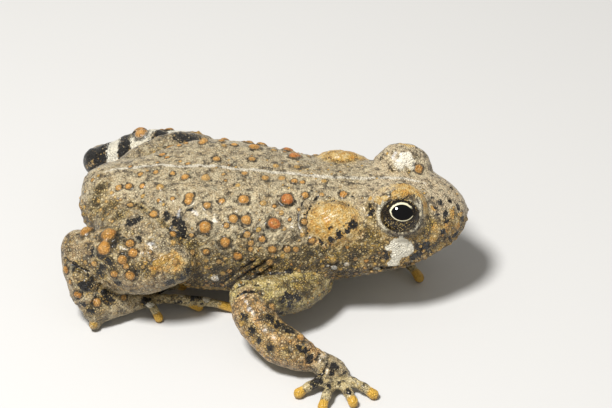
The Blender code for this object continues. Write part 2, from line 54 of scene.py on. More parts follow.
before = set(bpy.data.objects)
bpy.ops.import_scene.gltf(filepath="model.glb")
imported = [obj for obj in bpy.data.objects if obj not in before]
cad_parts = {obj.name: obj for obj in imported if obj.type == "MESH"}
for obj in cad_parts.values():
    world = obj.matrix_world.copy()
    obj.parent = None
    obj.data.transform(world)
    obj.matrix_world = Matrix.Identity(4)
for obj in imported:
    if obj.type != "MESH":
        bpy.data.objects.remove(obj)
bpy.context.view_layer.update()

# Body and head from vent to snout: x, half width, top, bottom, height of the widest line, and how
# square the section is (2 is an ellipse).
BODY_SECTIONS = (
    (-25.6, 1.4, 12.2, 9.4, 10.8, 2.0),
    (-24.6, 3.8, 14.0, 7.2, 10.5, 2.1),
    (-22.0, 6.2, 15.4, 5.0, 9.9, 1.9),
    (-17.5, 7.6, 16.4, 3.2, 9.3, 1.85),
    (-11.0, 10.8, 17.1, 2.2, 8.9, 2.8),
    (-4.0, 11.4, 17.1, 1.8, 8.6, 2.6),
    (3.0, 10.7, 16.8, 2.0, 8.6, 2.2),
    (9.0, 9.6, 16.6, 3.2, 9.1, 2.1),
    (14.0, 9.1, 16.9, 5.0, 9.7, 2.3),
    (18.5, 8.4, 17.0, 6.5, 10.1, 2.4),
    (22.0, 6.4, 16.2, 7.6, 10.8, 2.4),
    (24.3, 4.6, 15.0, 8.5, 11.3, 2.3),
    (25.7, 2.8, 13.8, 9.5, 11.7, 2.1),
    (26.4, 1.2, 12.8, 10.6, 11.8, 2.0),
)
# The mouth's line as x and height, and where its corner is.
MOUTH_LINE = ((13.0, 8.4), (15.5, 8.7), (19.5, 8.9), (22.5, 9.4), (25.0, 10.5), (27.0, 11.6))
MOUTH_CORNER = 13.4
# Eyes, lids, nostrils, eardrums and glands, given for the left side.
EYE_CENTRE = (17.7, 5.4, 15.2)
EYE_RADIUS = 3.0
EYE_BULGE = 0.12
LID_CENTRE = (17.4, 5.2, 15.5)
LID_SIZE = (4.15, 3.8, 4.05)
# The way the opening of the lids faces, and the way the pupil looks.
EYE_FACES = (0.10, 0.82, 0.56)
PUPIL_FACES = (0.17, 0.70, 0.69)
# Half angles of the lids' opening along the head and up it, in degrees.
EYE_OPENING = (59.0, 49.0)
# Nostril: x, and its turn up from the side in degrees.
NOSTRIL = (24.2, 77.0)
NOSTRIL_RADIUS = 0.42
EARDRUM = (14.0, 8.6, 12.2)
EARDRUM_RADIUS = 1.0
PAROTOID_CENTRE = (9.1, 6.9, 14.2)
PAROTOID_SIZE = (3.7, 2.8, 1.5)
PAROTOID_LEAN = 48.0

# Sections of the limbs: x, y, z, half width and half height.
LIMBS = {
    "upper_arm_right": (
        (6.5, -8.2, 5.8, 2.9, 3.0),
        (4.1, -11.7, 6.0, 2.7, 2.8),
        (1.2, -13.8, 6.9, 2.5, 2.6),
        (-1.4, -15.2, 7.6, 2.1, 2.2),
    ),
    "forearm_right": (
        (-1.4, -15.2, 7.6, 2.1, 2.2),
        (-0.2, -16.9, 5.8, 2.5, 2.7),
        (2.6, -19.0, 4.1, 2.6, 2.7),
        (5.6, -20.2, 3.1, 2.4, 2.4),
        (8.6, -20.7, 2.1, 1.4, 1.5),
    ),
    "upper_arm_left": (
        (8.0, 7.2, 6.0, 3.0, 3.1),
        (6.0, 10.6, 6.0, 2.8, 2.8),
        (4.2, 13.1, 6.3, 2.5, 2.5),
        (2.4, 15.0, 6.7, 2.2, 2.1),
    ),
    "forearm_left": (
        (2.4, 15.0, 6.7, 2.2, 2.1),
        (5.0, 13.6, 5.6, 2.6, 2.7),
        (8.3, 11.6, 4.2, 2.5, 2.6),
        (10.8, 9.8, 3.1, 2.2, 2.2),
        (12.9, 8.4, 2.1, 1.4, 1.5),
    ),
    "thigh_right": (
        (-20.0, -4.2, 10.4, 3.2, 3.4),
        (-17.0, -7.6, 11.0, 3.4, 3.5),
        (-13.8, -10.4, 10.9, 3.2, 3.3),
        (-11.0, -12.2, 10.0, 2.6, 2.7),
    ),
    "shank_right": (
        (-11.0, -12.2, 10.0, 2.6, 2.7),
        (-14.6, -12.2, 9.3, 3.1, 3.9),
        (-19.0, -11.3, 9.0, 3.2, 4.5),
        (-22.4, -9.8, 8.8, 2.8, 3.8),
        (-24.5, -8.7, 8.8, 2.3, 2.6),
    ),
    "tarsus_right": (
        (-24.5, -8.7, 8.8, 2.3, 2.6),
        (-24.1, -11.0, 6.8, 2.1, 2.5),
        (-23.1, -12.5, 4.8, 2.1, 2.4),
        (-21.6, -13.5, 3.1, 1.9, 1.9),
    ),
    "foot_right": (
        (-21.6, -13.6, 2.4, 1.7, 2.0),
        (-19.9, -12.3, 2.7, 2.0, 2.1),
        (-18.2, -11.3, 2.4, 1.9, 1.8),
        (-16.6, -10.4, 2.0, 1.6, 1.3),
    ),
    "thigh_left": (
        (-20.0, 4.2, 10.4, 3.2, 3.4),
        (-17.0, 7.6, 11.0, 3.4, 3.5),
        (-13.8, 10.6, 10.9, 3.2, 3.3),
        (-11.0, 12.6, 10.0, 2.6, 2.7),
    ),
    "shank_left": (
        (-11.0, 12.6, 10.0, 2.6, 2.7),
        (-14.6, 13.5, 9.2, 3.0, 3.3),
        (-19.4, 14.3, 8.0, 3.0, 3.4),
        (-23.6, 14.8, 6.4, 2.5, 2.8),
        (-26.2, 14.8, 5.8, 2.1, 2.2),
    ),
    "tarsus_left": (
        (-26.2, 14.8, 5.8, 2.1, 2.2),
        (-26.0, 16.6, 4.8, 2.1, 2.3),
        (-25.5, 18.2, 3.7, 2.1, 2.2),
        (-24.6, 19.4, 2.6, 1.8, 1.8),
    ),
    "foot_left": (
        (-24.9, 20.0, 1.8, 1.5, 1.5),
        (-23.4, 19.0, 2.1, 1.9, 1.5),
        (-21.4, 18.0, 1.9, 1.8, 1.3),
        (-19.8, 17.4, 1.7, 1.5, 1.0),
    ),
}
# Middles of the palms, and where the digits end on the floor, from the innermost out.
PALMS = {"right": (11.0, -21.6, 1.25), "left": (15.0, 6.6, 1.25)}
FINGER_TIPS = {
    "right": ((16.2, -24.6), (13.7, -26.4), (9.9, -27.6), (6.6, -25.4)),
    "left": ((15.0, 3.0), (17.4, 2.9), (20.4, -0.1), (19.8, 6.2)),
}
TOE_TIPS = {
    "right": ((-14.6, -5.6), (-11.4, -5.2), (-8.6, -9.4), (-4.0, -9.1), (-13.6, -12.2)),
    "left": ((-17.6, 13.4), (-14.2, 13.0), (-10.8, 14.9), (-7.8, 17.4), (-14.6, 20.6)),
}
FINGER_RADIUS = 0.72
TOE_RADIUS = 0.66
HEEL_BUMP = (0.95, 0.95, 1.0)
# How far along the toes their webs reach, and how thick they are.
WEB_REACH = 0.42
WEB_THICKNESS = 0.34
# Places read along a limb when a point is looked up on it.
LIMB_PLACES = 90
# Thickness of a digit along its length, as shares of its radius: knuckles and the pad of the tip.
DIGIT_SHAPE = (
    (0.0, 1.05),
    (0.18, 0.92),
    (0.36, 1.06),
    (0.52, 0.84),
    (0.68, 1.0),
    (0.82, 0.84),
    (1.0, 1.02),
)

# The camera puts this place of the drawing on this pixel of the photograph's frame.
CAMERA_MIDDLE = (0.0, 0.0, 9.0)
CAMERA_PIXEL = (270.0, 219.0)
FRAME_SIZE = (612.0, 408.0)
FRAME_SENSOR = 36.0

# Place and size of the key light, in metres.
KEY_PLACE = (-0.11, -0.15, 0.42)
KEY_SIZE = 0.10

# Marks by their pixel in the photograph, with a radius in millimetres. They sit on the skin that
# the camera sees there, and those of the right side have their like on the left.
# Warts: across, down, radius, and tone from white (-1) over yellow and tan (0) to red (1).
SEEN_WARTS = (
    # Rump
    (119, 188, 0.5, 0.35),
    (129, 187, 0.5, 0.5),
    (142, 187, 0.42, 0.5),
    (141, 175, 0.42, 0.35),
    (156, 172, 0.42, 0.4),
    (159, 188, 0.6, 0.1),
    (143, 197, 0.38, -0.05),
    (173, 174, 0.42, 0.45),
    (173, 198, 0.36, 0.4),
    (158, 200, 0.3, 0.4),
    (163, 205, 0.25, -0.1),
    (163, 155, 0.5, 0.6),
    (167, 158, 0.4, 0.65),
    (178, 146, 0.45, 0.5),
    (180, 161, 0.3, 0.2),
    (157, 163, 0.3, 0.3),
    (130, 167, 0.35, 0.45),
    (130, 205, 0.5, 0.3),
    (101, 210, 0.35, 0.0),
    (108, 214, 0.3, 0.1),
    (103, 220, 0.32, 0.05),
    (113, 221, 0.3, 0.1),
    (107, 202, 0.32, 0.0),
    (98, 201, 0.35, -0.1),
    (116, 208, 0.3, 0.15),
    (111, 193, 0.35, 0.0),
    # Along the back
    (204, 142, 0.65, 0.3),
    (224, 146, 0.5, 0.1),
    (216, 159, 0.6, 0.4),
    (251, 159, 0.6, 0.4),
    (275, 166, 0.5, 0.0),
    (296, 167, 0.5, 0.1),
    (244, 174, 0.5, 0.3),
    (224, 174, 0.35, 0.2),
    (206, 178, 0.7, 0.1),
    (188, 164, 0.4, 0.35),
    (184, 178, 0.6, 0.45),
    (190, 196, 0.6, 0.5),
    (188, 202, 0.6, 0.55),
    (281, 179, 0.6, 0.15),
    (295, 181, 0.5, 0.5),
    (303, 183, 0.4, 0.4),
    (323, 182, 0.45, 0.0),
    (266, 178, 0.6, 0.3),
    (237, 186, 0.4, -0.1),
    # Rows above the flank
    (207, 205, 0.55, 0.4),
    (222, 201, 0.5, 0.45),
    (244, 200, 0.8, 0.6),
    (263, 204, 0.5, 0.1),
    (288, 199, 0.9, 1.0),
    (306, 195, 0.5, 0.45),
    (322, 195, 0.4, 0.2),
    (344, 195, 0.6, 0.6),
    (205, 227, 0.85, 0.6),
    (233, 219, 0.65, 0.45),
    (226, 226, 0.45, 0.4),
    (246, 220, 0.7, 0.5),
    (274, 223, 0.9, 0.95),
    (225, 243, 0.75, 0.6),
    (248, 235, 0.5, 0.35),
    (261, 239, 0.5, 0.5),
    (250, 243, 0.45, 0.3),
    (251, 250, 0.4, 0.3),
    (238, 256, 0.65, 0.6),
    (205, 252, 0.5, 0.5),
    (192, 253, 0.5, 0.2),
    (191, 235, 0.35, 0.3),
    (273, 250, 0.6, 0.5),
    (287, 249, 0.5, 0.45),
    (295, 249, 0.45, 0.35),
    (312, 240, 0.5, 0.5),
    (304, 221, 0.45, 0.4),
    (282, 213, 0.4, 0.05),
    (275, 206, 0.3, 0.6),
    (289, 220, 0.3, 0.6),
    (302, 235, 0.4, 0.1),
    (299, 209, 0.35, 0.2),
    (259, 229, 0.4, -0.1),
    (285, 229, 0.3, 0.1),
    # Flank
    (192, 264, 0.4, -0.1),
    (199, 264, 0.35, -0.2),
    (206, 260, 0.35, -0.1),
    (206, 268, 0.35, -0.2),
    (218, 261, 0.45, 0.15),
    (225, 258, 0.3, -0.1),
    (224, 263, 0.25, -0.1),
    (230, 270, 0.4, 0.45),
    (223, 273, 0.4, -0.1),
    (216, 278, 0.65, -0.85),
    (207, 285, 0.4, 0.3),
    (197, 287, 0.4, 0.1),
    (283, 257, 0.35, -0.2),
    (270, 261, 0.55, 0.15),
    (253, 259, 0.35, 0.2),
    (253, 266, 0.35, 0.2),
    (262, 269, 0.4, 0.0),
    (270, 269, 0.35, 0.4),
    (334, 268, 0.5, -1.0),
    (333, 259, 0.6, -0.4),
    (347, 264, 0.45, -0.8),
    (328, 265, 0.28, -1.0),
    (366, 261, 0.35, 0.6),
    # Lids
    (419, 169, 0.7, 0.55),
    # Near hind leg
    (87, 231, 1.05, 0.55),
    (109, 235, 1.15, 0.6),
    (104, 249, 1.0, 0.6),
    (130, 244, 0.65, 0.6),
    (133, 252, 0.7, 0.6),
    (122, 259, 0.7, 0.6),
    (126, 266, 0.5, 0.45),
    (95, 264, 0.5, 0.2),
    (86, 263, 0.35, 0.1),
    (113, 273, 0.6, 0.5),
    (130, 275, 0.75, 0.6),
    (155, 264, 0.5, -0.2),
    (154, 273, 0.4, -0.1),
    (165, 258, 0.5, 0.0),
    (172, 256, 0.4, 0.1),
    (176, 262, 0.4, 0.2),
    (163, 263, 0.45, -0.2),
    (169, 268, 0.4, 0.1),
    (160, 269, 0.35, 0.2),
    (173, 235, 0.5, 0.5),
    (173, 243, 0.5, -0.1),
    (154, 214, 0.65, 0.5),
    (146, 262, 0.35, 0.0),
    (150, 253, 0.3, 0.2),
    (142, 267, 0.3, 0.1),
    (66, 270, 0.6, 0.6),
    (78, 295, 0.6, 0.7),
    (97, 302, 0.65, 0.55),
    (70, 282, 0.4, 0.4),
    (124, 298, 0.5, 0.4),
    (94, 325, 0.7, -0.4),
    # Near forearm, with the row of tubercles along its outer edge
    (281, 322, 0.4, -0.1),
    (272, 308, 0.6, 0.3),
    (300, 337, 0.6, 0.4),
    (241, 324, 0.45, -0.2),
    (247, 334, 0.45, -0.2),
    (253, 341, 0.4, -0.2),
    (258, 350, 0.4, 0.0),
    (265, 356, 0.4, 0.1),
    (323, 356, 0.5, -0.7),
    # Far hind leg
    (141, 134, 1.0, 0.55),
)
# Blotches: across, down and radius, with a few of painted shadow under the knee.
SEEN_BLACK = (
    # Near hind leg
    (95, 230, 0.45),
    (117, 233, 0.6),
    (120, 238, 0.45),
    (114, 245, 0.6),
    (94, 253, 0.65),
    (100, 258, 0.4),
    (139, 241, 0.6),
    (136, 273, 0.5),
    (102, 266, 0.45),
    (118, 282, 0.5),
    (110, 262, 0.4),
    (100, 274, 0.5),
    (132, 222, 0.7),
    (139, 219, 0.5),
    (168, 217, 0.6),
    (175, 222, 0.9),
    (182, 227, 0.8),
    (184, 236, 0.5),
    (181, 243, 0.4),
    # Painted shadow in the crease under the knee, not a blotch.
    (172, 281, 0.6),
    (181, 277, 0.6),
    (188, 271, 0.5),
    (67, 262, 0.5),
    (74, 265, 0.6),
    (85, 289, 0.8),
    (91, 284, 0.5),
    (109, 298, 0.65),
    (104, 292, 0.5),
    (92, 311, 0.5),
    (84, 304, 0.5),
    (145, 300, 0.6),
    (192, 297, 0.6),
    (167, 292, 0.4),
    # Near arm
    (281, 301, 0.4),
    (289, 303, 0.35),
    (284, 298, 0.5),
    (291, 299, 0.55),
    (298, 298, 0.5),
    (271, 318, 0.5),
    (277, 325, 0.6),
    (284, 328, 0.7),
    (291, 330, 0.5),
    (287, 320, 0.5),
    (281, 313, 0.4),
    (298, 348, 0.5),
    (304, 344, 0.35),
    (310, 357, 0.5),
    (305, 352, 0.35),
    (244, 316, 0.5),
    (252, 331, 0.45),
    (260, 342, 0.4),
    (270, 350, 0.45),
    (333, 365, 0.65),
    (331, 373, 0.45),
    (345, 372, 0.3),
    (340, 383, 0.35),
    (347, 390, 0.35),
    # Head
    (417, 246, 0.6),
    (422, 250, 0.7),
    (427, 246, 0.5),
    (418, 254, 0.6),
    (412, 258, 0.5),
    (424, 243, 0.4),
    (430, 251, 0.4),
    (386, 252, 0.5),
    (385, 259, 0.5),
    (440, 203, 0.5),
    (436, 209, 0.35),
    (446, 213, 0.4),
    (446, 222, 0.45),
    (455, 234, 0.45),
    (450, 240, 0.4),
    (462, 219, 0.35),
    (459, 208, 0.35),
    (437, 214, 0.3),
    (443, 232, 0.35),
    (432, 198, 0.3),
    (352, 226, 0.6),
    (347, 231, 0.5),
    (339, 235, 0.6),
    (331, 239, 0.5),
    (329, 228, 0.25),
    (321, 242, 0.4),
    (370, 205, 0.35),
    (372, 213, 0.3),
    (339, 193, 0.3),
    (351, 196, 0.25),
    # Flank
    (205, 231, 0.4),
    (292, 204, 0.35),
    (189, 209, 0.4),
    (268, 229, 0.35),
)
SEEN_PALE = (
    # Cheek
    (393, 245, 0.75),
    (401, 243, 0.8),
    (408, 246, 0.75),
    (411, 250, 0.6),
    (404, 253, 0.9),
    (397, 258, 0.8),
    (393, 263, 0.6),
    (398, 251, 0.9),
    (389, 249, 0.5),
    (378, 268, 0.4),
    (364, 274, 0.4),
    # Far lid and crown
    (404, 158, 0.9),
    (399, 165, 0.8),
    (410, 163, 0.7),
    # Toes
    (150, 305, 0.5),
    (205, 298, 0.5),
    (180, 293, 0.5),
)
# Bands round the far shank: share of its length, half width as a share of it, and whether dark.
SHANK_BANDS = (
    (0.22, 0.06, False),
    (0.33, 0.055, True),
    (0.46, 0.07, False),
    (0.58, 0.055, True),
    (0.71, 0.08, False),
    (0.95, 0.17, True),
)
# Where the gaps between granules are wide and dark.
SEEN_PEPPER = (
    # Near arm
    (290, 290, 1.0),
    (300, 281, 0.9),
    (310, 294, 0.9),
    (300, 287, 1.1),
    (311, 285, 1.2),
    (319, 285, 0.8),
    (292, 293, 0.8),
    (305, 293, 0.8),
    (272, 320, 1.0),
    (282, 326, 1.2),
    (291, 331, 1.0),
    (245, 318, 0.8),
    (252, 330, 0.8),
    (260, 342, 0.8),
    (270, 352, 0.8),
    (285, 352, 0.9),
    (300, 350, 0.8),
    # Flank
    (190, 270, 1.3),
    (200, 276, 1.5),
    (212, 274, 1.6),
    (190, 285, 1.1),
    (224, 268, 1.6),
    (237, 263, 1.3),
    (205, 290, 1.3),
    (250, 262, 1.3),
    (263, 263, 1.3),
    (280, 262, 1.4),
    (296, 262, 1.4),
    (311, 258, 1.4),
    (240, 280, 1.3),
    (320, 250, 1.1),
    (190, 245, 0.9),
    # Head
    (365, 236, 1.3),
    (372, 245, 1.5),
    (360, 252, 1.5),
    (376, 257, 1.2),
    (348, 247, 1.4),
    (338, 256, 1.3),
    (385, 267, 0.9),
    (351, 264, 1.1),
    (430, 225, 1.0),
    (439, 236, 1.2),
    (451, 229, 1.1),
    (434, 247, 1.1),
    (455, 215, 0.9),
    (446, 241, 0.9),
    (426, 233, 0.8),
    (461, 224, 0.8),
    (369, 208, 0.7),
    (371, 218, 0.8),
    # Rump
    (95, 205, 1.2),
    (105, 214, 1.3),
    (113, 205, 0.9),
    (100, 190, 1.0),
    (120, 215, 1.0),
    # Near hind leg
    (100, 259, 1.0),
    (116, 240, 1.0),
    (112, 263, 1.2),
    (100, 275, 1.1),
    (131, 271, 1.0),
    (78, 267, 0.8),
    (88, 285, 1.1),
    (105, 297, 1.1),
    (92, 309, 1.0),
    (143, 270, 1.1),
    (180, 240, 0.9),
    (178, 275, 1.0),
)
# Golden patches of the knee, brow and gland.
SEEN_GOLD = (
    (174, 262, 1.4),
    (164, 264, 1.2),
    (155, 268, 0.8),
    (318, 228, 1.1),
    (328, 215, 1.5),
    (340, 212, 1.7),
    (351, 212, 1.1),
    (325, 224, 1.4),
    (316, 240, 0.6),
    (410, 189, 0.95),
    (418, 192, 0.95),
    (402, 191, 0.8),
    (394, 194, 0.6),
    (385, 198, 0.5),
    (376, 200, 0.5),
    (370, 199, 0.4),
    (452, 212, 0.6),
    (457, 225, 0.6),
    (447, 229, 0.7),
    (435, 228, 0.6),
    (431, 238, 0.6),
    (443, 246, 0.5),
    (461, 214, 0.4),
    (432, 208, 0.4),
    (350, 155, 1.0),
    (362, 155, 0.8),
    (340, 158, 0.7),
)
# Folds: depth in millimetres, and the pixels along them.
SEEN_FOLDS = (
    (0.2, ((219, 285), (232, 275), (246, 266), (258, 258))),
    (0.22, ((224, 289), (238, 279), (252, 270), (265, 262))),
    (0.2, ((232, 291), (246, 283), (259, 275), (272, 268))),
    (0.18, ((318, 196), (309, 206), (305, 220), (308, 236))),
    (0.16, ((312, 190), (302, 203), (298, 219), (301, 236))),
    (0.2, ((236, 288), (246, 283), (258, 285))),
    (0.16, ((236, 296), (247, 291), (262, 294))),
    (0.22, ((66, 259), (76, 265), (88, 271))),
    (0.22, ((68, 303), (79, 297), (88, 286), (92, 278))),
    (0.2, ((82, 313), (92, 303), (98, 292), (100, 284))),
    (0.14, ((300, 352), (309, 351), (316, 346))),
    (0.14, ((306, 364), (315, 360), (321, 353))),
    (0.14, ((328, 354), (327, 365), (321, 376))),
)
# Marks of the body further right than this have their like on the left, and so have those of the
# hind leg turned further out than this.
LIKE_FROM = 4.5
LIKE_TURN = 115.0


def smooth_rows(rows, count):
    """Rows of numbers read at even steps along a smooth curve through the given rows."""
    given = np.array(rows, float)
    before = 2 * given[0] - given[1]
    after = 2 * given[-1] - given[-2]
    padded = np.vstack([before, given, after])
    read = []
    for t in np.linspace(0, len(given) - 1, count):
        i = min(int(t), len(given) - 2)
        f = t - i
        a, b, c, d = padded[i : i + 4]
        bend = 2 * a - 5 * b + 4 * c - d
        read.append(0.5 * (2 * b + (c - a) * f + bend * f**2 + (3 * b - a - 3 * c + d) * f**3))
    return np.array(read)


BODY_ROWS = smooth_rows(BODY_SECTIONS, 400)


def unit(v):
    """Vectors along the last axis, made one long."""
    v = np.asarray(v, float)
    return v / np.maximum(np.linalg.norm(v, axis=-1, keepdims=True), 1e-9)


def ease(value, low, high):
    """Rises smoothly from 0 at low to 1 at high."""
    t = np.clip((value - low) / (high - low), 0, 1)
    return t * t * (3 - 2 * t)


def on_side(place, side):
    """A place or way given for the left side, on either side."""
    return np.array((place[0], place[1] if side == "left" else -place[1], place[2]), float)


def body_section(x):
    """Half width, top, bottom, widest line and squareness of the body at x."""
    return [np.interp(x, BODY_ROWS[:, 0], BODY_ROWS[:, k]) for k in range(1, 6)]


def body_point(x, turn):
    """The point of the body's skin at x, turned from the left side (0) up over the back."""
    width, top, bottom, widest, square = body_section(x)
    side, rise = math.cos(turn), math.sin(turn)
    reach = top - widest if rise > 0 else widest - bottom
    y = width * math.copysign(abs(side) ** (2 / square), side)
    z = widest + reach * math.copysign(abs(rise) ** (2 / square), rise)
    return np.array((x, y, z))


class Forms:
    """Closed forms gathered as one list of corners and faces."""

    def __init__(self):
        self.corners = []
        self.faces = []

    def rings(self, rings):
        """A form over rings of points, each end closed on a point in its middle."""
        start = len(self.corners)
        n = len(rings[0])
        for ring in rings:
            self.corners.extend(tuple(p) for p in ring)
        for r in range(len(rings) - 1):
            a = start + r * n
            for i in range(n):
                j = (i + 1) % n
                self.faces.append((a + i, a + j, a + n + j, a + n + i))
        last = start + (len(rings) - 1) * n
        for first, flip in ((start, True), (last, False)):
            self.corners.append(tuple(np.mean(self.corners[first : first + n], axis=0)))
            pole = len(self.corners) - 1
            for i in range(n):
                pair = (first + i, first + (i + 1) % n)
                self.faces.append((pole, *(reversed(pair) if flip else pair)))

    def body(self, rings=130, points=120):
        first, last = BODY_SECTIONS[0][0], BODY_SECTIONS[-1][0]
        turns = [2 * math.pi * i / points for i in range(points)]
        rows = []
        for k in range(rings):
            s = k / (rings - 1)
            x = first + (last - first) * (s - math.sin(2 * math.pi * s) / (4 * math.pi))
            rows.append([body_point(x, t) for t in turns])
        self.rings(rows)

    def tube(self, rows, points=28, count=26):
        """A limb's rounded form along rows of (x, y, z, half width, half height)."""
        path = smooth_rows(rows, count)
        ways, sides, lifts = limb_frames(path)
        turns = np.linspace(0, 2 * math.pi, points, endpoint=False)
        rings = []

        def ring(k, shift, share):
            place = path[k, :3] + ways[k] * shift
            wide, high = path[k, 3] * share, path[k, 4] * share
            rings.append(
                [
                    place + sides[k] * math.cos(t) * wide + lifts[k] * math.sin(t) * high
                    for t in turns
                ]
            )

        ends = [math.radians(a) for a in (84, 72, 58, 42, 26, 12)]
        first, last = path[0, 3:5].mean(), path[-1, 3:5].mean()
        for a in ends:
            ring(0, -first * math.sin(a), math.cos(a))
        for k in range(count):
            ring(k, 0, 1)
        for a in reversed(ends):
            ring(count - 1, last * math.sin(a), math.cos(a))
        self.rings(rings)

    def ball(self, centre, size, lean=0.0, segments=40):
        """An ellipsoid, leaned about the x axis."""
        turns = [2 * math.pi * i / segments for i in range(segments)]
        c, s = math.cos(lean), math.sin(lean)
        rings = []
        for k in range(1, segments // 2):
            a = math.pi * k / (segments // 2)
            ring = []
            for t in turns:
                x = -math.cos(a) * size[0]
                y = math.sin(a) * math.cos(t) * size[1]
                z = math.sin(a) * math.sin(t) * size[2]
                ring.append(np.array(centre) + (x, y * c - z * s, y * s + z * c))
            rings.append(ring)
        self.rings(rings)

    def web(self, one, two, reach, thick, across=8, along=8):
        """Thin skin between two digits' paths, with a hollowed free edge."""
        one, two = smooth_rows(one, 60)[:, :3], smooth_rows(two, 60)[:, :3]
        rings = []
        for i in range(across + 1):
            t = i / across
            end = reach * (1 - 0.5 * math.sin(math.pi * t))
            low, high = [], []
            for j in range(along + 1):
                k = int(round(end * j / along * 59))
                place = one[k] * (1 - t) + two[k] * t
                low.append(place - (0, 0, thick / 2))
                high.append(place + (0, 0, thick / 2))
            rings.append(low + high[::-1])
        self.rings(rings)


def limb_frames(path):
    """Ways along, beside and over a path of sections."""
    ways = unit(np.gradient(path[:, :3], axis=0))
    sides = unit(np.cross(ways, (0, 0, 1)))
    return ways, sides, np.cross(sides, ways)


def hand_rows(side):
    """Sections of the hand from the wrist to the front of the palm."""
    fore = np.array(LIMBS["forearm_" + side], float)[:, :3]
    wrist, palm = fore[-1], np.array(PALMS[side])
    front = palm + (palm - wrist) * 0.25
    front[2] = 1.0
    return (
        (*(wrist + (fore[-2] - wrist) * 0.25), 1.5, 1.5),
        (*wrist, 1.5, 1.5),
        (*(wrist * 0.4 + palm * 0.6), 1.9, 1.35),
        (*palm, 2.0, 1.15),
        (*front, 1.7, 0.95),
    )


def digit_rows(root, tips, spread, radius, arch):
    """Sections of each finger or toe from inside its palm or foot to its tip on the floor."""
    root = np.array(root, float)
    ends = np.array([(x, y, root[2]) for x, y in tips])
    ahead = unit(ends.mean(0) - root)
    digits = []
    for x, y in tips:
        base = root + (unit((x, y, root[2]) - root) * 0.6 + ahead * 0.4) * spread
        base[2] = root[2] * 0.85
        tip = np.array((x, y, radius * 0.92))
        rows = []
        for share, thick in DIGIT_SHAPE:
            place = base + (tip - base) * share
            place[2] += arch * math.sin(math.pi * share)
            rows.append((*place, radius * thick, radius * thick))
        digits.append(rows)
    return digits


def all_limbs():
    """Every limb, hand and digit by name, as its sections."""
    limbs = dict(LIMBS)
    for side in SIDES:
        limbs["hand_" + side] = hand_rows(side)
        ball = LIMBS["foot_" + side][-1][:3]
        for digit, root, tips, spread, radius, arch in (
            ("finger", PALMS[side], FINGER_TIPS[side], 1.5, FINGER_RADIUS, 0.5),
            ("toe", ball, TOE_TIPS[side], 1.0, TOE_RADIUS, 0.9),
        ):
            for k, rows in enumerate(digit_rows(root, tips, spread, radius, arch), 1):
                limbs[f"{digit}_{k}_{side}"] = rows
    return limbs


def toad_forms(limbs):
    """The toad's forms, still separate, in millimetres."""
    forms = Forms()
    forms.body()
    for side in SIDES:
        out = 1 if side == "left" else -1
        forms.ball(on_side(LID_CENTRE, side), LID_SIZE)
        lean = math.radians(PAROTOID_LEAN) * -out
        forms.ball(on_side(PAROTOID_CENTRE, side), PAROTOID_SIZE, lean)
        heel = LIMBS["foot_" + side][0]
        forms.ball((heel[0] - 0.1, heel[1] + out * 0.9, 0.85), HEEL_BUMP, segments=20)
        toes = [rows for name, rows in limbs.items() if name.startswith("toe") and side in name]
        for one, two in zip(toes, toes[1:]):
            forms.web(one, two, WEB_REACH, WEB_THICKNESS)
    for name, rows in limbs.items():
        small = name.startswith(("finger", "toe"))
        forms.tube(rows, 18 if small else 32, 22 if small else 30)
    return forms


def select_only(obj):
    """Selects one object and makes it the active one."""
    bpy.ops.object.select_all(action="DESELECT")
    obj.select_set(True)
    bpy.context.view_layer.objects.active = obj


def new_piece(name, corners, faces):
    """An object with a mesh of its own at the origin, selected."""
    mesh = bpy.data.meshes.new(name)
    mesh.from_pydata([tuple(c) for c in corners], [], faces)
    obj = bpy.data.objects.new(name, mesh)
    bpy.context.scene.collection.objects.link(obj)
    select_only(obj)
    return obj


def apply_modifier(obj, kind, **settings):
    """Adds a modifier with its settings and applies it."""
    select_only(obj)
    step = obj.modifiers.new(kind.lower(), kind)
    for key, value in settings.items():
        setattr(step, key, value)
    bpy.ops.object.modifier_apply(modifier=step.name)


def frame_shift():
    """How far the drawing's middle is from the frame's, in millimetres, from where an eye sits."""
    low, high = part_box("eye_left")
    return np.array((low + high) / 2) / MM - np.array(EYE_CENTRE)


class Sculpt:
    """A mesh in hand as arrays, to be pushed, smoothed and painted by place."""

    def __init__(self, obj):
        self.obj = obj
        mesh = obj.data
        self.count = len(mesh.vertices)
        self.co = np.zeros(self.count * 3)
        mesh.vertices.foreach_get("co", self.co)
        self.co = self.co.reshape(-1, 3)
        edges = np.zeros(len(mesh.edges) * 2, int)
        mesh.edges.foreach_get("vertices", edges)
        self.edges = edges.reshape(-1, 2)
        ends = np.concatenate([self.edges[:, 0], self.edges[:, 1]])
        self.links = np.maximum(np.bincount(ends, minlength=self.count), 1)
        self.tree = None

    def normals(self):
        """Each vertex's normal, with the mesh brought up to the arrays first."""
        mesh = self.obj.data
        mesh.vertices.foreach_set("co", self.co.ravel())
        mesh.update()
        n = np.zeros(self.count * 3)
        mesh.vertices.foreach_get("normal", n)
        return n.reshape(-1, 3)

    def average(self, values):
        """Each vertex's mean of its neighbours' values."""
        a, b = self.edges[:, 0], self.edges[:, 1]
        total = np.zeros_like(values)
        for k in range(values.shape[1]):
            total[:, k] = np.bincount(a, values[b, k], self.count)
            total[:, k] += np.bincount(b, values[a, k], self.count)
        return total / self.links[:, None]

    def smooth(self, weight, rounds):
        """Draws each vertex towards its neighbours by its weight, round after round."""
        for _ in range(rounds):
            self.co += (self.average(self.co) - self.co) * weight[:, None] * 0.6

    def spread(self, mask, rounds):
        """A mask grown by rounds of neighbours and softened."""
        m = mask.astype(float)[:, None]
        for _ in range(rounds):
            m = np.maximum(m, self.average(m))
        return m[:, 0]

    def plant(self):
        """Readies the search for what lies near a place."""
        self.tree = KDTree(self.count)
        for i, p in enumerate(self.co):
            self.tree.insert(p, i)
        self.tree.balance()

    def near(self, place, radius):
        """Indices and distances of the vertices near a place."""
        found = self.tree.find_range(place, radius)
        return np.array([f[1] for f in found], int), np.array([f[2] for f in found])


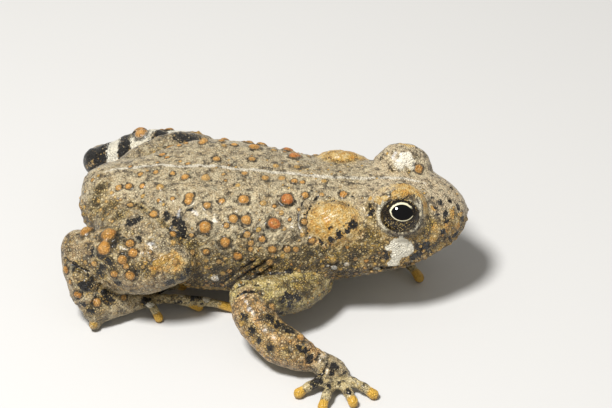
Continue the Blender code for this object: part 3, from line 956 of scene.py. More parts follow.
class Anatomy:
    """Where each vertex lies: on which limb, how far along and turned about it, or on the body."""

    def __init__(self, co, limbs):
        self.co = co
        self.names = ["body", *limbs]
        self.best = self.body_ratio(co)
        self.limb = np.zeros(len(co), int)
        self.share = np.zeros(len(co))
        self.turn = np.degrees(
            np.arctan2((co[:, 2] - self.widest) / self.reach, co[:, 1] / self.width)
        )
        self.turn = np.where(self.turn < -90, self.turn + 360, self.turn)
        for k, (name, rows) in enumerate(limbs.items(), 1):
            ids, ratio, share, turn = limb_place(co, name, rows)
            closer = ratio < self.best[ids]
            chosen = ids[closer]
            self.best[chosen] = ratio[closer]
            self.limb[chosen] = k
            self.share[chosen] = share[closer]
            self.turn[chosen] = turn[closer]

    def body_ratio(self, co):
        """How far each place is from the body's core, as a share of the way to its skin."""
        width, top, bottom, widest, square = body_section(co[:, 0])
        rise = co[:, 2] - widest
        reach = np.where(rise > 0, top - widest, widest - bottom)
        self.width, self.reach, self.widest = width, reach, widest
        y, z = np.abs(co[:, 1] / width), np.abs(rise / reach)
        return (y**square + z**square) ** (1 / square)

    def on(self, *starts):
        """A mask of what lies on the limbs whose names start so."""
        ids = [k for k, name in enumerate(self.names) if name.startswith(starts)]
        return np.isin(self.limb, ids)


def limb_place(co, name, rows):
    """For vertices near a limb: indices, distance in radii, share of its length, turn about it."""
    path = smooth_rows(rows, LIMB_PLACES)
    ways, sides, lifts = limb_frames(path)
    if name.endswith("left"):
        sides = -sides
    reach = path[:, 3:5].max() * 1.6
    low, high = path[:, :3].min(0) - reach, path[:, :3].max(0) + reach
    ids = np.nonzero(((co > low) & (co < high)).all(1))[0]
    q = co[ids][:, None, :] - path[None, :, :3]
    k = (q**2).sum(2).argmin(1)
    q = q[np.arange(len(ids)), k]
    a = (q * sides[k]).sum(1) / path[k, 3]
    b = (q * lifts[k]).sum(1) / path[k, 4]
    c = (q * ways[k]).sum(1) / path[k, 3:5].mean(1)
    ratio = np.sqrt(a**2 + b**2 + c**2)
    return ids, ratio, k / (LIMB_PLACES - 1), np.degrees(np.arctan2(b, a))


def limb_point(name, rows, share, degrees):
    """The point of a limb's skin at a share of its length, turned about it."""
    path = smooth_rows(rows, LIMB_PLACES)
    _, sides, lifts = limb_frames(path)
    k = int(round(share * (LIMB_PLACES - 1)))
    side = -sides[k] if name.endswith("left") else sides[k]
    t = math.radians(degrees)
    return path[k, :3] + side * math.cos(t) * path[k, 3] + lifts[k] * math.sin(t) * path[k, 4]


def lumps(co, scale, seed):
    """Soft noise from -1 to 1 at each place, with scale lumps to a millimetre."""
    shift = Vector((seed * 17.3, seed * 5.1, seed * 9.7))
    return np.array([noise.noise(Vector(p) * scale + shift) for p in co])


def eye_axes(side, faces):
    """Ways along the head, up the eye and out of it, for a way that the eye faces."""
    out = unit(on_side(faces, side))
    along = unit(np.array((1.0, 0, 0)) - out * out[0])
    rise = np.cross(out, along)
    return along, rise * (1 if rise[2] > 0 else -1), out


def eye_place(co, side):
    """Each vertex's distance from an eye's middle, its angle from the opening's middle as a
    share of the opening's half angle there, and the turn about the opening."""
    along, rise, out = eye_axes(side, EYE_FACES)
    q = co - on_side(EYE_CENTRE, side)
    far = np.linalg.norm(q, axis=1)
    d = q / far[:, None]
    angle = np.degrees(np.arccos(np.clip(d @ out, -1, 1)))
    turn = np.arctan2(d @ rise, d @ along)
    edge = 1 / np.sqrt((np.cos(turn) / EYE_OPENING[0]) ** 2 + (np.sin(turn) / EYE_OPENING[1]) ** 2)
    return far, angle / edge, turn, d


def mouth_drop(co):
    """Height above the line of the mouth."""
    line = smooth_rows(MOUTH_LINE, 60)
    return co[:, 2] - np.interp(co[:, 0], line[:, 0], line[:, 1])


def form_skin(limbs, voxel):
    """Fuses all the forms into one closed surface, finer round the eyes and the mouth."""
    forms = toad_forms(limbs)
    obj = new_piece("toad_skin", forms.corners, forms.faces)
    apply_modifier(obj, "REMESH", mode="VOXEL", voxel_size=voxel, use_smooth_shade=True)
    mesh = obj.data
    middles = np.zeros(len(mesh.polygons) * 3)
    mesh.polygons.foreach_get("center", middles)
    middles = middles.reshape(-1, 3)
    fine = (middles[:, 0] > MOUTH_CORNER + 0.1) & (np.abs(mouth_drop(middles)) < 0.55)
    for side in SIDES:
        far, share, _, _ = eye_place(middles, side)
        fine |= (far < 5) & (share > 0.75) & (share < 1.6)
    select_only(obj)
    bpy.ops.object.mode_set(mode="EDIT")
    bpy.ops.mesh.select_mode(type="FACE")
    bpy.ops.mesh.select_all(action="DESELECT")
    bpy.ops.object.mode_set(mode="OBJECT")
    mesh.polygons.foreach_set("select", fine)
    bpy.ops.object.mode_set(mode="EDIT")
    bpy.ops.mesh.subdivide(number_cuts=1)
    bpy.ops.object.mode_set(mode="OBJECT")
    return obj


def soften_creases(skin, anatomy):
    """Rounds the creases where forms meet, but not the digits, and gives where they are."""
    n = skin.normals()
    a, b = skin.edges[:, 0], skin.edges[:, 1]
    bend = (n[a] * n[b]).sum(1) < math.cos(math.radians(24))
    mask = np.zeros(skin.count)
    mask[a[bend]] = mask[b[bend]] = 1
    mask[anatomy.on("finger", "toe")] = 0
    mask = skin.spread(mask, 4)
    skin.smooth(np.clip(mask * 1.4, 0, 1), 14)
    every = np.where(anatomy.on("finger", "toe"), 0.25, 0.7)
    skin.smooth(every, 3)
    return mask


def open_lids(skin):
    """Sinks the skin inside each opening under the eyeball, with a thick brow over it and a
    folded lid below."""
    shares = (0, 0.86, 0.93, 0.985, 1.03, 1.09, 1.17, 1.3, 1.5)
    for side in SIDES:
        far, share, turn, d = eye_place(skin.co, side)
        below = np.interp(share, shares, (2.5, 2.55, 2.85, 3.14, 3.27, 3.25, 3.16, 3.36, 3.6))
        above = np.interp(share, shares, (2.5, 2.55, 2.85, 3.2, 3.42, 3.56, 3.74, 3.96, 3.92))
        brow = ease(np.sin(turn), 0.1, 0.8)
        shape = below * (1 - brow) + above * brow
        hold = (1 - ease(share, 1.28, 1.7)) * (1 - ease(far, 4.3, 5.3))
        new = shape * hold + far * (1 - hold)
        skin.co = on_side(EYE_CENTRE, side) + d * new[:, None]


def cut_mouth(skin, anatomy):
    """Draws the closed line of the mouth as a groove between two lips."""
    n = skin.normals()
    drop = mouth_drop(skin.co)
    x = skin.co[:, 0]
    hold = ease(x, MOUTH_CORNER, MOUTH_CORNER + 1.6) * (anatomy.limb == 0)
    groove = -0.36 * np.exp(-((drop / 0.19) ** 2))
    upper = 0.12 * np.exp(-(((drop - 0.48) / 0.3) ** 2))
    lower = 0.05 * np.exp(-(((drop + 0.5) / 0.3) ** 2))
    skin.co += n * ((groove + upper + lower) * hold)[:, None]
    return np.exp(-((drop / 0.26) ** 2)) * hold


def nearest(skin, place):
    """The vertex nearest to a place."""
    _, i, _ = skin.tree.find(place)
    return i


def press(skin, n, place, radius, depth, rim):
    """Pushes a round pit into the skin with a low rim about it."""
    i = nearest(skin, place)
    ids, far = skin.near(skin.co[i], radius * 2)
    t = far / radius
    shape = -depth * np.clip(1 - t**2, 0, 1) + rim * np.exp(-(((t - 1.2) / 0.3) ** 2))
    skin.co[ids] += n[i] * shape[:, None]
    return ids, t


def camera_sight(studio):
    """The camera's place on the drawing in millimetres, and its ways right, up and back."""
    a, e = studio.azimuth, studio.elevation
    back = np.array((math.sin(a) * math.cos(e), -math.cos(a) * math.cos(e), math.sin(e)))
    right = np.array((math.cos(a), math.sin(a), 0.0))
    up = np.cross(back, right)
    far = studio.distance / MM
    width = far * FRAME_SENSOR / studio.lens
    aside = (CAMERA_PIXEL[0] - FRAME_SIZE[0] / 2) / FRAME_SIZE[0] * width
    above = (FRAME_SIZE[1] / 2 - CAMERA_PIXEL[1]) / FRAME_SIZE[0] * width
    eye = np.array(CAMERA_MIDDLE) + back * far - right * aside - up * above
    return eye, right, up, back


class Seen:
    """Finds what the camera sees of the skin at a pixel of the photograph, and its like on the
    other side."""

    def __init__(self, skin, anatomy, limbs, studio):
        self.skin = skin
        self.anatomy = anatomy
        self.limbs = limbs
        self.eye, self.right, self.up, self.back = camera_sight(studio)
        self.focus = studio.lens / FRAME_SENSOR * FRAME_SIZE[0]
        faces = [p.vertices for p in skin.obj.data.polygons]
        self.tree = BVHTree.FromPolygons([tuple(c) for c in skin.co], faces)

    def at(self, across, down):
        """The vertex seen there, or for a pixel just off the skin the nearest one."""
        aside = (across - FRAME_SIZE[0] / 2) / self.focus
        above = (FRAME_SIZE[1] / 2 - down) / self.focus
        way = unit(self.right * aside + self.up * above - self.back)
        hit = self.tree.ray_cast(Vector(self.eye), Vector(way))[0]
        if hit is not None:
            return nearest(self.skin, hit)
        off = self.skin.co - self.eye
        return int(np.linalg.norm(off - np.outer(off @ way, way), axis=1).argmin())

    def like(self, i):
        """The vertex on the left that is the like of one on the right, or None."""
        name = self.anatomy.names[self.anatomy.limb[i]]
        x, y, z = self.skin.co[i]
        if name == "body":
            return nearest(self.skin, (x, -y, z)) if y < -LIKE_FROM else None
        share, turn = self.anatomy.share[i], self.anatomy.turn[i]
        hind = name.startswith(("thigh", "shank", "tarsus"))
        if name.endswith("left") or (hind and abs(turn) < LIKE_TURN):
            return None
        other = name.replace("right", "left")
        return nearest(self.skin, limb_point(other, self.limbs[other], share, turn))

    def marks(self, rows):
        """The vertices of a table's marks on both sides, with the rest of each row."""
        found = []
        for across, down, *rest in rows:
            i = self.at(across, down)
            found.append((i, *rest))
            if self.like(i) is not None:
                found.append((self.like(i), *rest))
        return found


def raise_warts(skin, n, warts, marks):
    """Raises uneven domes, and keeps how far each vertex is from its nearest wart, in radii, and
    that wart's tone."""
    places = [(skin.co[i].copy(), n[i].copy(), radius, tone) for i, radius, tone in warts]
    for k, (place, way, radius, tone) in enumerate(places):
        ids, far = skin.near(place, radius * 2.4)
        t = far / radius * (1 + 0.22 * lumps(skin.co[ids], 0.9 / radius, 11 + k % 7))
        dome = np.sqrt(np.clip(1 - t**2, 0, 1)) * 0.28 + np.clip(1 - t**2.5, 0, 1) * 0.22
        dome *= 1 + 0.3 * lumps(skin.co[ids], 1.5 / radius, 31)
        moat = np.exp(-(((t - 1.3) / 0.25) ** 2))
        out = unit(n[ids] * 0.5 + way * 0.5)
        skin.co[ids] += out * (radius * (dome - 0.09 * moat))[:, None]
        closer = t < marks["wart"][ids]
        marks["wart"][ids[closer]] = t[closer]
        marks["tone"][ids[closer]] = tone


def stain(skin, bent, field, spots, peak):
    """Fills a field with uneven blotches that fall from their peak to a half at their radius."""
    for i, radius in spots:
        ids, _ = skin.near(skin.co[i], radius * 2 + 0.4)
        far = np.linalg.norm(bent[ids] - bent[i], axis=1)
        field[ids] = np.maximum(field[ids], peak - (peak - 0.5) * far / radius)


def fold(skin, n, points, depth, field):
    """Presses a crease with rounded lips along a smooth line through points of the skin."""
    line = smooth_rows(points, 40)
    middle = line.mean(0)
    reach = np.linalg.norm(line - middle, axis=1).max() + 1.2
    ids, _ = skin.near(middle, reach)
    far = np.linalg.norm(skin.co[ids][:, None, :] - line[None, :, :], axis=2).min(1)
    shape = 0.5 * np.exp(-(((far - 0.6) / 0.26) ** 2)) - np.exp(-((far / 0.27) ** 2))
    skin.co[ids] += n[ids] * (shape * depth)[:, None]
    field[ids] = np.maximum(field[ids], np.exp(-((far / 0.25) ** 2)))


def scatter(skin, anatomy, marks, seed):
    """Middling tubercles at random, close on the flanks and legs and sparse on the back."""
    draw = random.Random(seed)
    taken = {}
    found = []
    order = list(range(skin.count))
    draw.shuffle(order)
    steep = np.abs(anatomy.turn - 90)
    digit = anatomy.on("finger", "toe", "hand", "foot")
    limb = anatomy.limb > 0
    eyes = np.minimum(*(eye_place(skin.co, side)[1] for side in SIDES))
    keep = np.where(limb, 0.1, 0.012 + 0.6 * ease(steep, 45, 75))
    keep[skin.co[:, 0] > 13] *= 0.4
    keep[digit | (eyes < 1.7) | (skin.co[:, 2] < 2.5) | (~limb & (steep > 128))] = 0
    apart = 0.9
    for i in order:
        p = skin.co[i]
        if draw.random() > keep[i] or marks["wart"][i] < 1.9 or marks["pale"][i] > 0.2:
            continue
        cell = tuple(int(c // apart) for c in p)
        close = (
            q
            for a in (-1, 0, 1)
            for b in (-1, 0, 1)
            for c in (-1, 0, 1)
            for q in taken.get((cell[0] + a, cell[1] + b, cell[2] + c), ())
        )
        if any(np.sum((p - q) ** 2) < apart**2 for q in close):
            continue
        taken.setdefault(cell, []).append(p)
        side = 0.5 if limb[i] else min(max((steep[i] - 30) / 50, 0), 1)
        radius = draw.uniform(0.2, 0.27) + side * draw.uniform(0, 0.14)
        tone = draw.uniform(-0.15, 0.2) + side * draw.uniform(-0.4, 0.2)
        found.append((i, radius, tone))
    return found


def sculpt_skin(obj, limbs, studio):
    """Sculpts the fused form and gives the masks that its colours are painted by."""
    skin = Sculpt(obj)
    anatomy = Anatomy(skin.co, limbs)
    crease = soften_creases(skin, anatomy)
    n = skin.normals()
    rough = lumps(skin.co, 0.33, 1) * 0.17 + lumps(skin.co, 0.9, 2) * 0.1
    rough += lumps(skin.co, 1.7, 12) * 0.06
    rough[anatomy.on("finger", "toe")] *= 0.35
    skin.co += n * rough[:, None]
    fields = ("tone", "nostril", "fold", "black", "pale", "gold", "pepper")
    marks = {name: np.zeros(skin.count) for name in fields}
    marks["wart"] = np.full(skin.count, 2.5)
    marks["crease"] = crease
    marks["mouth"] = cut_mouth(skin, anatomy)
    open_lids(skin)
    skin.plant()
    n = skin.normals()
    for side in SIDES:
        turn = math.radians(NOSTRIL[1] if side == "left" else 180 - NOSTRIL[1])
        ids, t = press(skin, n, body_point(NOSTRIL[0], turn), NOSTRIL_RADIUS, 0.4, 0.06)
        marks["nostril"][ids] = np.maximum(marks["nostril"][ids], 1 - ease(t, 0.6, 1.1))
        press(skin, n, on_side(EARDRUM, side), EARDRUM_RADIUS, 0.1, 0.07)
    seen = Seen(skin, anatomy, limbs, studio)
    tables = {"black": SEEN_BLACK, "pale": SEEN_PALE, "gold": SEEN_GOLD, "pepper": SEEN_PEPPER}
    bent = skin.co + 0.5 * np.column_stack([lumps(skin.co, 1.1, k) for k in (21, 22, 23)])
    for name, rows in tables.items():
        stain(skin, bent, marks[name], seen.marks(rows), 1.0 if name == "black" else 1.15)
    glands = np.clip(marks["gold"], 0, 1) * (lumps(skin.co, 1.3, 13) * 0.14 + 0.06)
    skin.co += n * glands[:, None]
    for depth, pixels in SEEN_FOLDS:
        line = [seen.at(*pixel) for pixel in pixels]
        likes = [seen.like(i) for i in line]
        fold(skin, n, skin.co[line], depth, marks["fold"])
        if None not in likes:
            fold(skin, n, skin.co[likes], depth, marks["fold"])
    raise_warts(skin, n, seen.marks(SEEN_WARTS), marks)
    raise_warts(skin, n, scatter(skin, anatomy, marks, 5), marks)
    skin.co[:, 2] = np.maximum(skin.co[:, 2], 0.0)
    return skin, anatomy, marks


def blend(one, two, share):
    """Colours of rows one blended towards two by each row's share."""
    return one * (1 - share[:, None]) + np.asarray(two, float)[None, :] * share[:, None]


def band(value, low, high, soft):
    """One between low and high, with soft ends."""
    return ease(value, low - soft, low + soft) * (1 - ease(value, high - soft, high + soft))


class Paint:
    """Ground colour of every vertex, how dark the gaps between its granules are (pepper), and
    how thick small knobs stand on it."""

    def __init__(self, count, colour, pepper, knobs):
        self.colour = np.tile(np.array(colour[:], float), (count, 1))
        self.pepper = np.full(count, pepper)
        self.knobs = np.full(count, knobs)

    def lay(self, share, colour, pepper, knobs):
        """Lays another ground over this one by each vertex's share."""
        self.colour = blend(self.colour, colour[:], share)
        self.pepper = self.pepper * (1 - share) + pepper * share
        self.knobs = self.knobs * (1 - share) + knobs * share


def paint_regions(skin, anatomy, colours):
    """Back, flanks, face, belly and limbs."""
    co, n = skin.co, skin.normals()
    body = anatomy.limb == 0
    steep = np.abs(anatomy.turn - 90) + lumps(co, 0.28, 3) * 10 + lumps(co, 0.9, 6) * 6
    paint = Paint(skin.count, colours.back, 0.2, 0.12)
    paint.lay(ease(steep, 50, 68) * body * 0.45, colours.flank, 0.5, 0.4)
    paint.lay(ease(steep, 66, 86) * body, colours.flank, 0.92, 0.7)
    head = ease(co[:, 0], 11.5, 14.5) * body
    paint.lay(head * (1 - ease(steep, 40, 60)), colours.crown, 0.15, 0.06)
    paint.lay(head * ease(steep, 44, 62), colours.face, 0.65, 0.4)
    paint.lay(ease(steep, 122, 146) * body, colours.belly, 0.16, 0.1)
    for names, colour, pepper, knobs in (
        (("upper_arm",), colours.arm, 0.42, 0.3),
        (("forearm",), colours.forearm, 0.46, 0.35),
        (("hand", "foot"), colours.palm, 0.3, 0.1),
        (("finger", "toe"), colours.digit_side, 0.2, 0.0),
        (("thigh",), colours.back, 0.42, 0.2),
        (("shank", "tarsus"), colours.leg, 0.48, 0.2),
    ):
        here = anatomy.on(*names).astype(float)
        for _ in range(3):
            here = skin.average(here[:, None])[:, 0]
        paint.lay(here, colour, pepper, knobs)
    paint.lay((~body) * ease(-n[:, 2], 0.25, 0.8) * 0.8, colours.belly, 0.15, 0.05)
    return paint


def paint_lids(skin, paint, marks, colours):
    """Pale margins before and behind each eye, painted shadow of the brow over the upper lid, a
    brown lower lid, and painted shade in the socket round the eyeball.
    """
    for side in SIDES:
        far, share, turn, _ = eye_place(skin.co, side)
        near = (far < 4.8).astype(float)
        up, ahead = np.sin(turn), np.abs(np.cos(turn))
        brow = near * band(share, 1.22, 1.6, 0.08) * ease(up + np.cos(turn) * 0.3, 0.15, 0.6)
        front = 0.45 + 0.4 * ease(np.cos(turn), -0.4, 0.4)
        marks["gold"] = np.maximum(marks["gold"], brow * (front if side == "right" else 0.3))
        # Painted shadow of the brow, laid black over the upper lid.
        paint.lay(near * band(share, 0.9, 1.24, 0.03) * ease(up, -0.1, 0.2), colours.black, 0.3, 0)
        paint.lay(near * band(share, 0.9, 1.24, 0.03) * ease(-up, 0.1, 0.4), colours.lid, 0.25, 0)
        paint.lay(near * band(share, 1.22, 1.28, 0.03) * ease(-up, 0.0, 0.3), colours.dark, 0.3, 0)
        margin = band(share, 0.98, 1.05 + 0.14 * ahead, 0.015) * ease(ahead, 0.55, 0.8)
        paint.lay(near * margin, colours.margin, 0, 0)
        # Painted shade in the socket between the lids and the eyeball.
        paint.lay(near * (1 - ease(share, 0.95, 0.985)), colours.black, 0, 0)


def paint_skin(skin, anatomy, marks, colours):
    """Gives every vertex its ground colour and the fields that the skin's pattern is made from."""
    co, n = skin.co, skin.normals()
    body = anatomy.limb == 0
    paint = paint_regions(skin, anatomy, colours)
    # Darker olive ground with dark gaps where the pepper table asks for them, and painted shade in
    # the creases where limbs and forms meet.
    pepper_and_crease_shade = np.clip(np.maximum(marks["pepper"], marks["crease"] * 0.8), 0, 1)
    paint.colour = blend(paint.colour, colours.olive[:], pepper_and_crease_shade * 0.85)
    paint.pepper = np.maximum(paint.pepper, pepper_and_crease_shade * 0.95)
    paint_lids(skin, paint, marks, colours)
    gold = marks["gold"]
    for side in SIDES:
        q = (co - on_side(PAROTOID_CENTRE, side)) / (4.3, 3.5, 3.3)
        gold = np.maximum(gold, (1.3 - 0.9 * np.linalg.norm(q, axis=1)) * body)
    snout = ease(co[:, 0], 20, 23) * ease(np.abs(anatomy.turn - 90), 30, 50) * body
    gold = np.maximum(gold, snout * 0.4)
    tip = np.zeros(skin.count)
    # Besides the blotches, the black field takes painted shade in the nostril pits, along the
    # mouth's groove, in the floors of the folds and in the creases where forms meet.
    black = np.maximum(marks["black"], marks["nostril"])
    black = np.maximum(black, marks["mouth"] * 0.75)
    black = np.maximum(black, marks["fold"] * 0.68)
    black = np.maximum(black, marks["crease"] * (0.42 + 0.2 * lumps(co, 0.5, 14)))
    black *= 1 - ease(marks["pale"], 0.45, 0.8) * (co[:, 0] > 0)
    for kind, start in (("finger", 0.72), ("toe", 0.7)):
        on = anatomy.on(kind)
        tip[on] = ease(anatomy.share[on], start, 1.0)
        blots = 0.3 + 0.9 * lumps(co[on], 0.6, 8)
        black[on] = np.maximum(black[on], blots * (1 - ease(anatomy.share[on], 0.5, 0.8)))
    shank = anatomy.on("shank_left")
    share = anatomy.share[shank] + lumps(co[shank], 0.45, 15) * 0.03
    for middle, half, dark in SHANK_BANDS:
        level = 1.15 - 0.65 * np.abs(share - middle) / half
        field_of = black if dark else marks["pale"]
        field_of[shank] = np.maximum(field_of[shank], level)
    hidden = ~body & ~shank & ~anatomy.on("finger", "toe") & (co[:, 1] > 9)
    black[hidden] = np.maximum(black[hidden], 0.2 + 1.1 * lumps(co[hidden], 0.3, 9))
    sway = lumps(np.column_stack([co[:, 0], co[:, 0] * 0, co[:, 0] * 0]), 0.25, 4) * 0.35
    along = ease(co[:, 0], -24, -20) * (1 - ease(co[:, 0], 17, 25) * 0.8)
    stripe = (1 - np.abs(co[:, 1] - sway) / 0.62) * along * body * (n[:, 2] > 0.2)

    steep = np.abs(anatomy.turn - 90)
    creased = band(steep, 50, 118, 12) * band(co[:, 0], -9, 12, 4) * body
    creased = np.maximum(creased, (1 - ease(np.abs(anatomy.share - 0.05), 0.05, 0.2)) * ~body * 0.5)

    def field(name, r, g, b, a):
        """Stores four numbers for each vertex."""
        layer = skin.obj.data.attributes.new(name, "FLOAT_COLOR", "POINT")
        values = np.column_stack([r, g, b, a]).clip(0, 1).astype(np.float32)
        layer.data.foreach_set("color", values.ravel())

    field("ground", *paint.colour.T, paint.pepper)
    field("marks", marks["wart"] / 2.5, marks["tone"] / 2 + 0.5, black, marks["pale"])
    field("lights", stripe, gold, tip, paint.knobs)
    field("folds", creased, *np.zeros((3, skin.count)))


class Value:
    """A socket of a material, on which sums can be written as on a number."""

    def __init__(self, shader, socket):
        self.shader = shader
        self.socket = socket

    def __add__(self, other):
        return self.shader.math("ADD", self, other)

    def __sub__(self, other):
        return self.shader.math("SUBTRACT", self, other)

    def __rsub__(self, other):
        return self.shader.math("SUBTRACT", other, self)

    def __mul__(self, other):
        return self.shader.math("MULTIPLY", self, other)

    __radd__ = __add__
    __rmul__ = __mul__


class Shader:
    """A material in the making."""

    def __init__(self, name):
        self.material = bpy.data.materials.new(name)
        self.material.use_nodes = True
        self.nodes = self.material.node_tree.nodes
        self.links = self.material.node_tree.links
        self.nodes.clear()

    def add(self, kind, settings=None, sockets=None):
        """A node of a kind, with its settings set first and its sockets given values or links."""
        node = self.nodes.new(kind)
        for key, value in (settings or {}).items():
            if key == "stops":
                ramp = node.color_ramp
                while len(ramp.elements) < len(value):
                    ramp.elements.new(1.0)
                for element, (place, colour) in zip(ramp.elements, value):
                    element.position = place
                    element.color = (*colour[:3], 1)
            else:
                setattr(node, key, value)
        for key, value in (sockets or {}).items():
            if isinstance(value, Value):
                self.links.new(value.socket, node.inputs[key])
            else:
                node.inputs[key].default_value = value
        return node

    def out(self, node, socket=0):
        """One output of a node."""
        return Value(self, node.outputs[socket])

    def math(self, operation, *values):
        sockets = dict(enumerate(values))
        return self.out(self.add("ShaderNodeMath", {"operation": operation}, sockets))

    def step(self, value, low, high):
        """Rises smoothly from 0 at low to 1 at high."""
        settings = {"interpolation_type": "SMOOTHSTEP"}
        sockets = {"Value": value, "From Min": low, "From Max": high}
        return self.out(self.add("ShaderNodeMapRange", settings, sockets))

    def mix(self, share, one, two):
        """Colour one blended towards two by a share."""
        settings = {"data_type": "RGBA", "clamp_factor": True}
        one, two = (v if isinstance(v, Value) else (*v[:3], 1) for v in (one, two))
        return self.out(self.add("ShaderNodeMix", settings, {0: share, 6: one, 7: two}), 2)

    def noise(self, place, scale, detail=2.0, rough=0.5):
        sockets = {"Vector": place, "Scale": scale, "Detail": detail, "Roughness": rough}
        return self.out(self.add("ShaderNodeTexNoise", None, sockets), "Fac")

    def cells(self, place, scale):
        """Distance from the middle of each of a crowd of cells, and three numbers at random for
        each cell."""
        node = self.add("ShaderNodeTexVoronoi", None, {"Vector": place, "Scale": scale})
        parts = self.add("ShaderNodeSeparateColor", None, {0: self.out(node, "Color")})
        return [self.out(node)] + [self.out(parts, k) for k in range(3)]

    def walls(self, place, scale):
        """Distance from the walls between the same cells."""
        sockets = {"Vector": place, "Scale": scale}
        return self.out(self.add("ShaderNodeTexVoronoi", {"feature": "DISTANCE_TO_EDGE"}, sockets))

    def bend(self, place, scale, reach):
        """A place pushed about by noise."""
        sockets = {"Vector": place, "Scale": scale, "Detail": 2.0}
        push = self.out(self.add("ShaderNodeTexNoise", None, sockets), "Color")
        sockets = {0: push, 1: (reach,) * 3, 2: place}
        return self.out(self.add("ShaderNodeVectorMath", {"operation": "MULTIPLY_ADD"}, sockets))

    def ramp(self, value, stops):
        """A colour read from stops along a ramp."""
        return self.out(self.add("ShaderNodeValToRGB", {"stops": stops}, {0: value}))

    def place(self, scale):
        """Object coordinates, scaled."""
        at = self.out(self.add("ShaderNodeTexCoord"), "Object")
        sockets = {0: at, "Scale": scale}
        return self.out(self.add("ShaderNodeVectorMath", {"operation": "SCALE"}, sockets))

    def field(self, name):
        """The three parts of a painted attribute's colour, its alpha, and the colour whole."""
        node = self.add("ShaderNodeAttribute", {"attribute_name": name})
        parts = self.add("ShaderNodeSeparateColor", None, {0: self.out(node, "Color")})
        split = [self.out(parts, k) for k in range(3)]
        return [*split, self.out(node, "Alpha"), self.out(node, "Color")]

    def finish(self, surface, height=None, distance=0.0001, **sockets):
        """Ends the material in a principled shader, with a height given as its bump."""
        if height is not None:
            bump = self.add("ShaderNodeBump", None, {"Distance": distance, "Height": height})
            sockets["Normal"] = self.out(bump)
        shader = self.add("ShaderNodeBsdfPrincipled", None, {**surface, **sockets})
        end = self.add("ShaderNodeOutputMaterial")
        self.links.new(shader.outputs[0], end.inputs["Surface"])
        return self.material


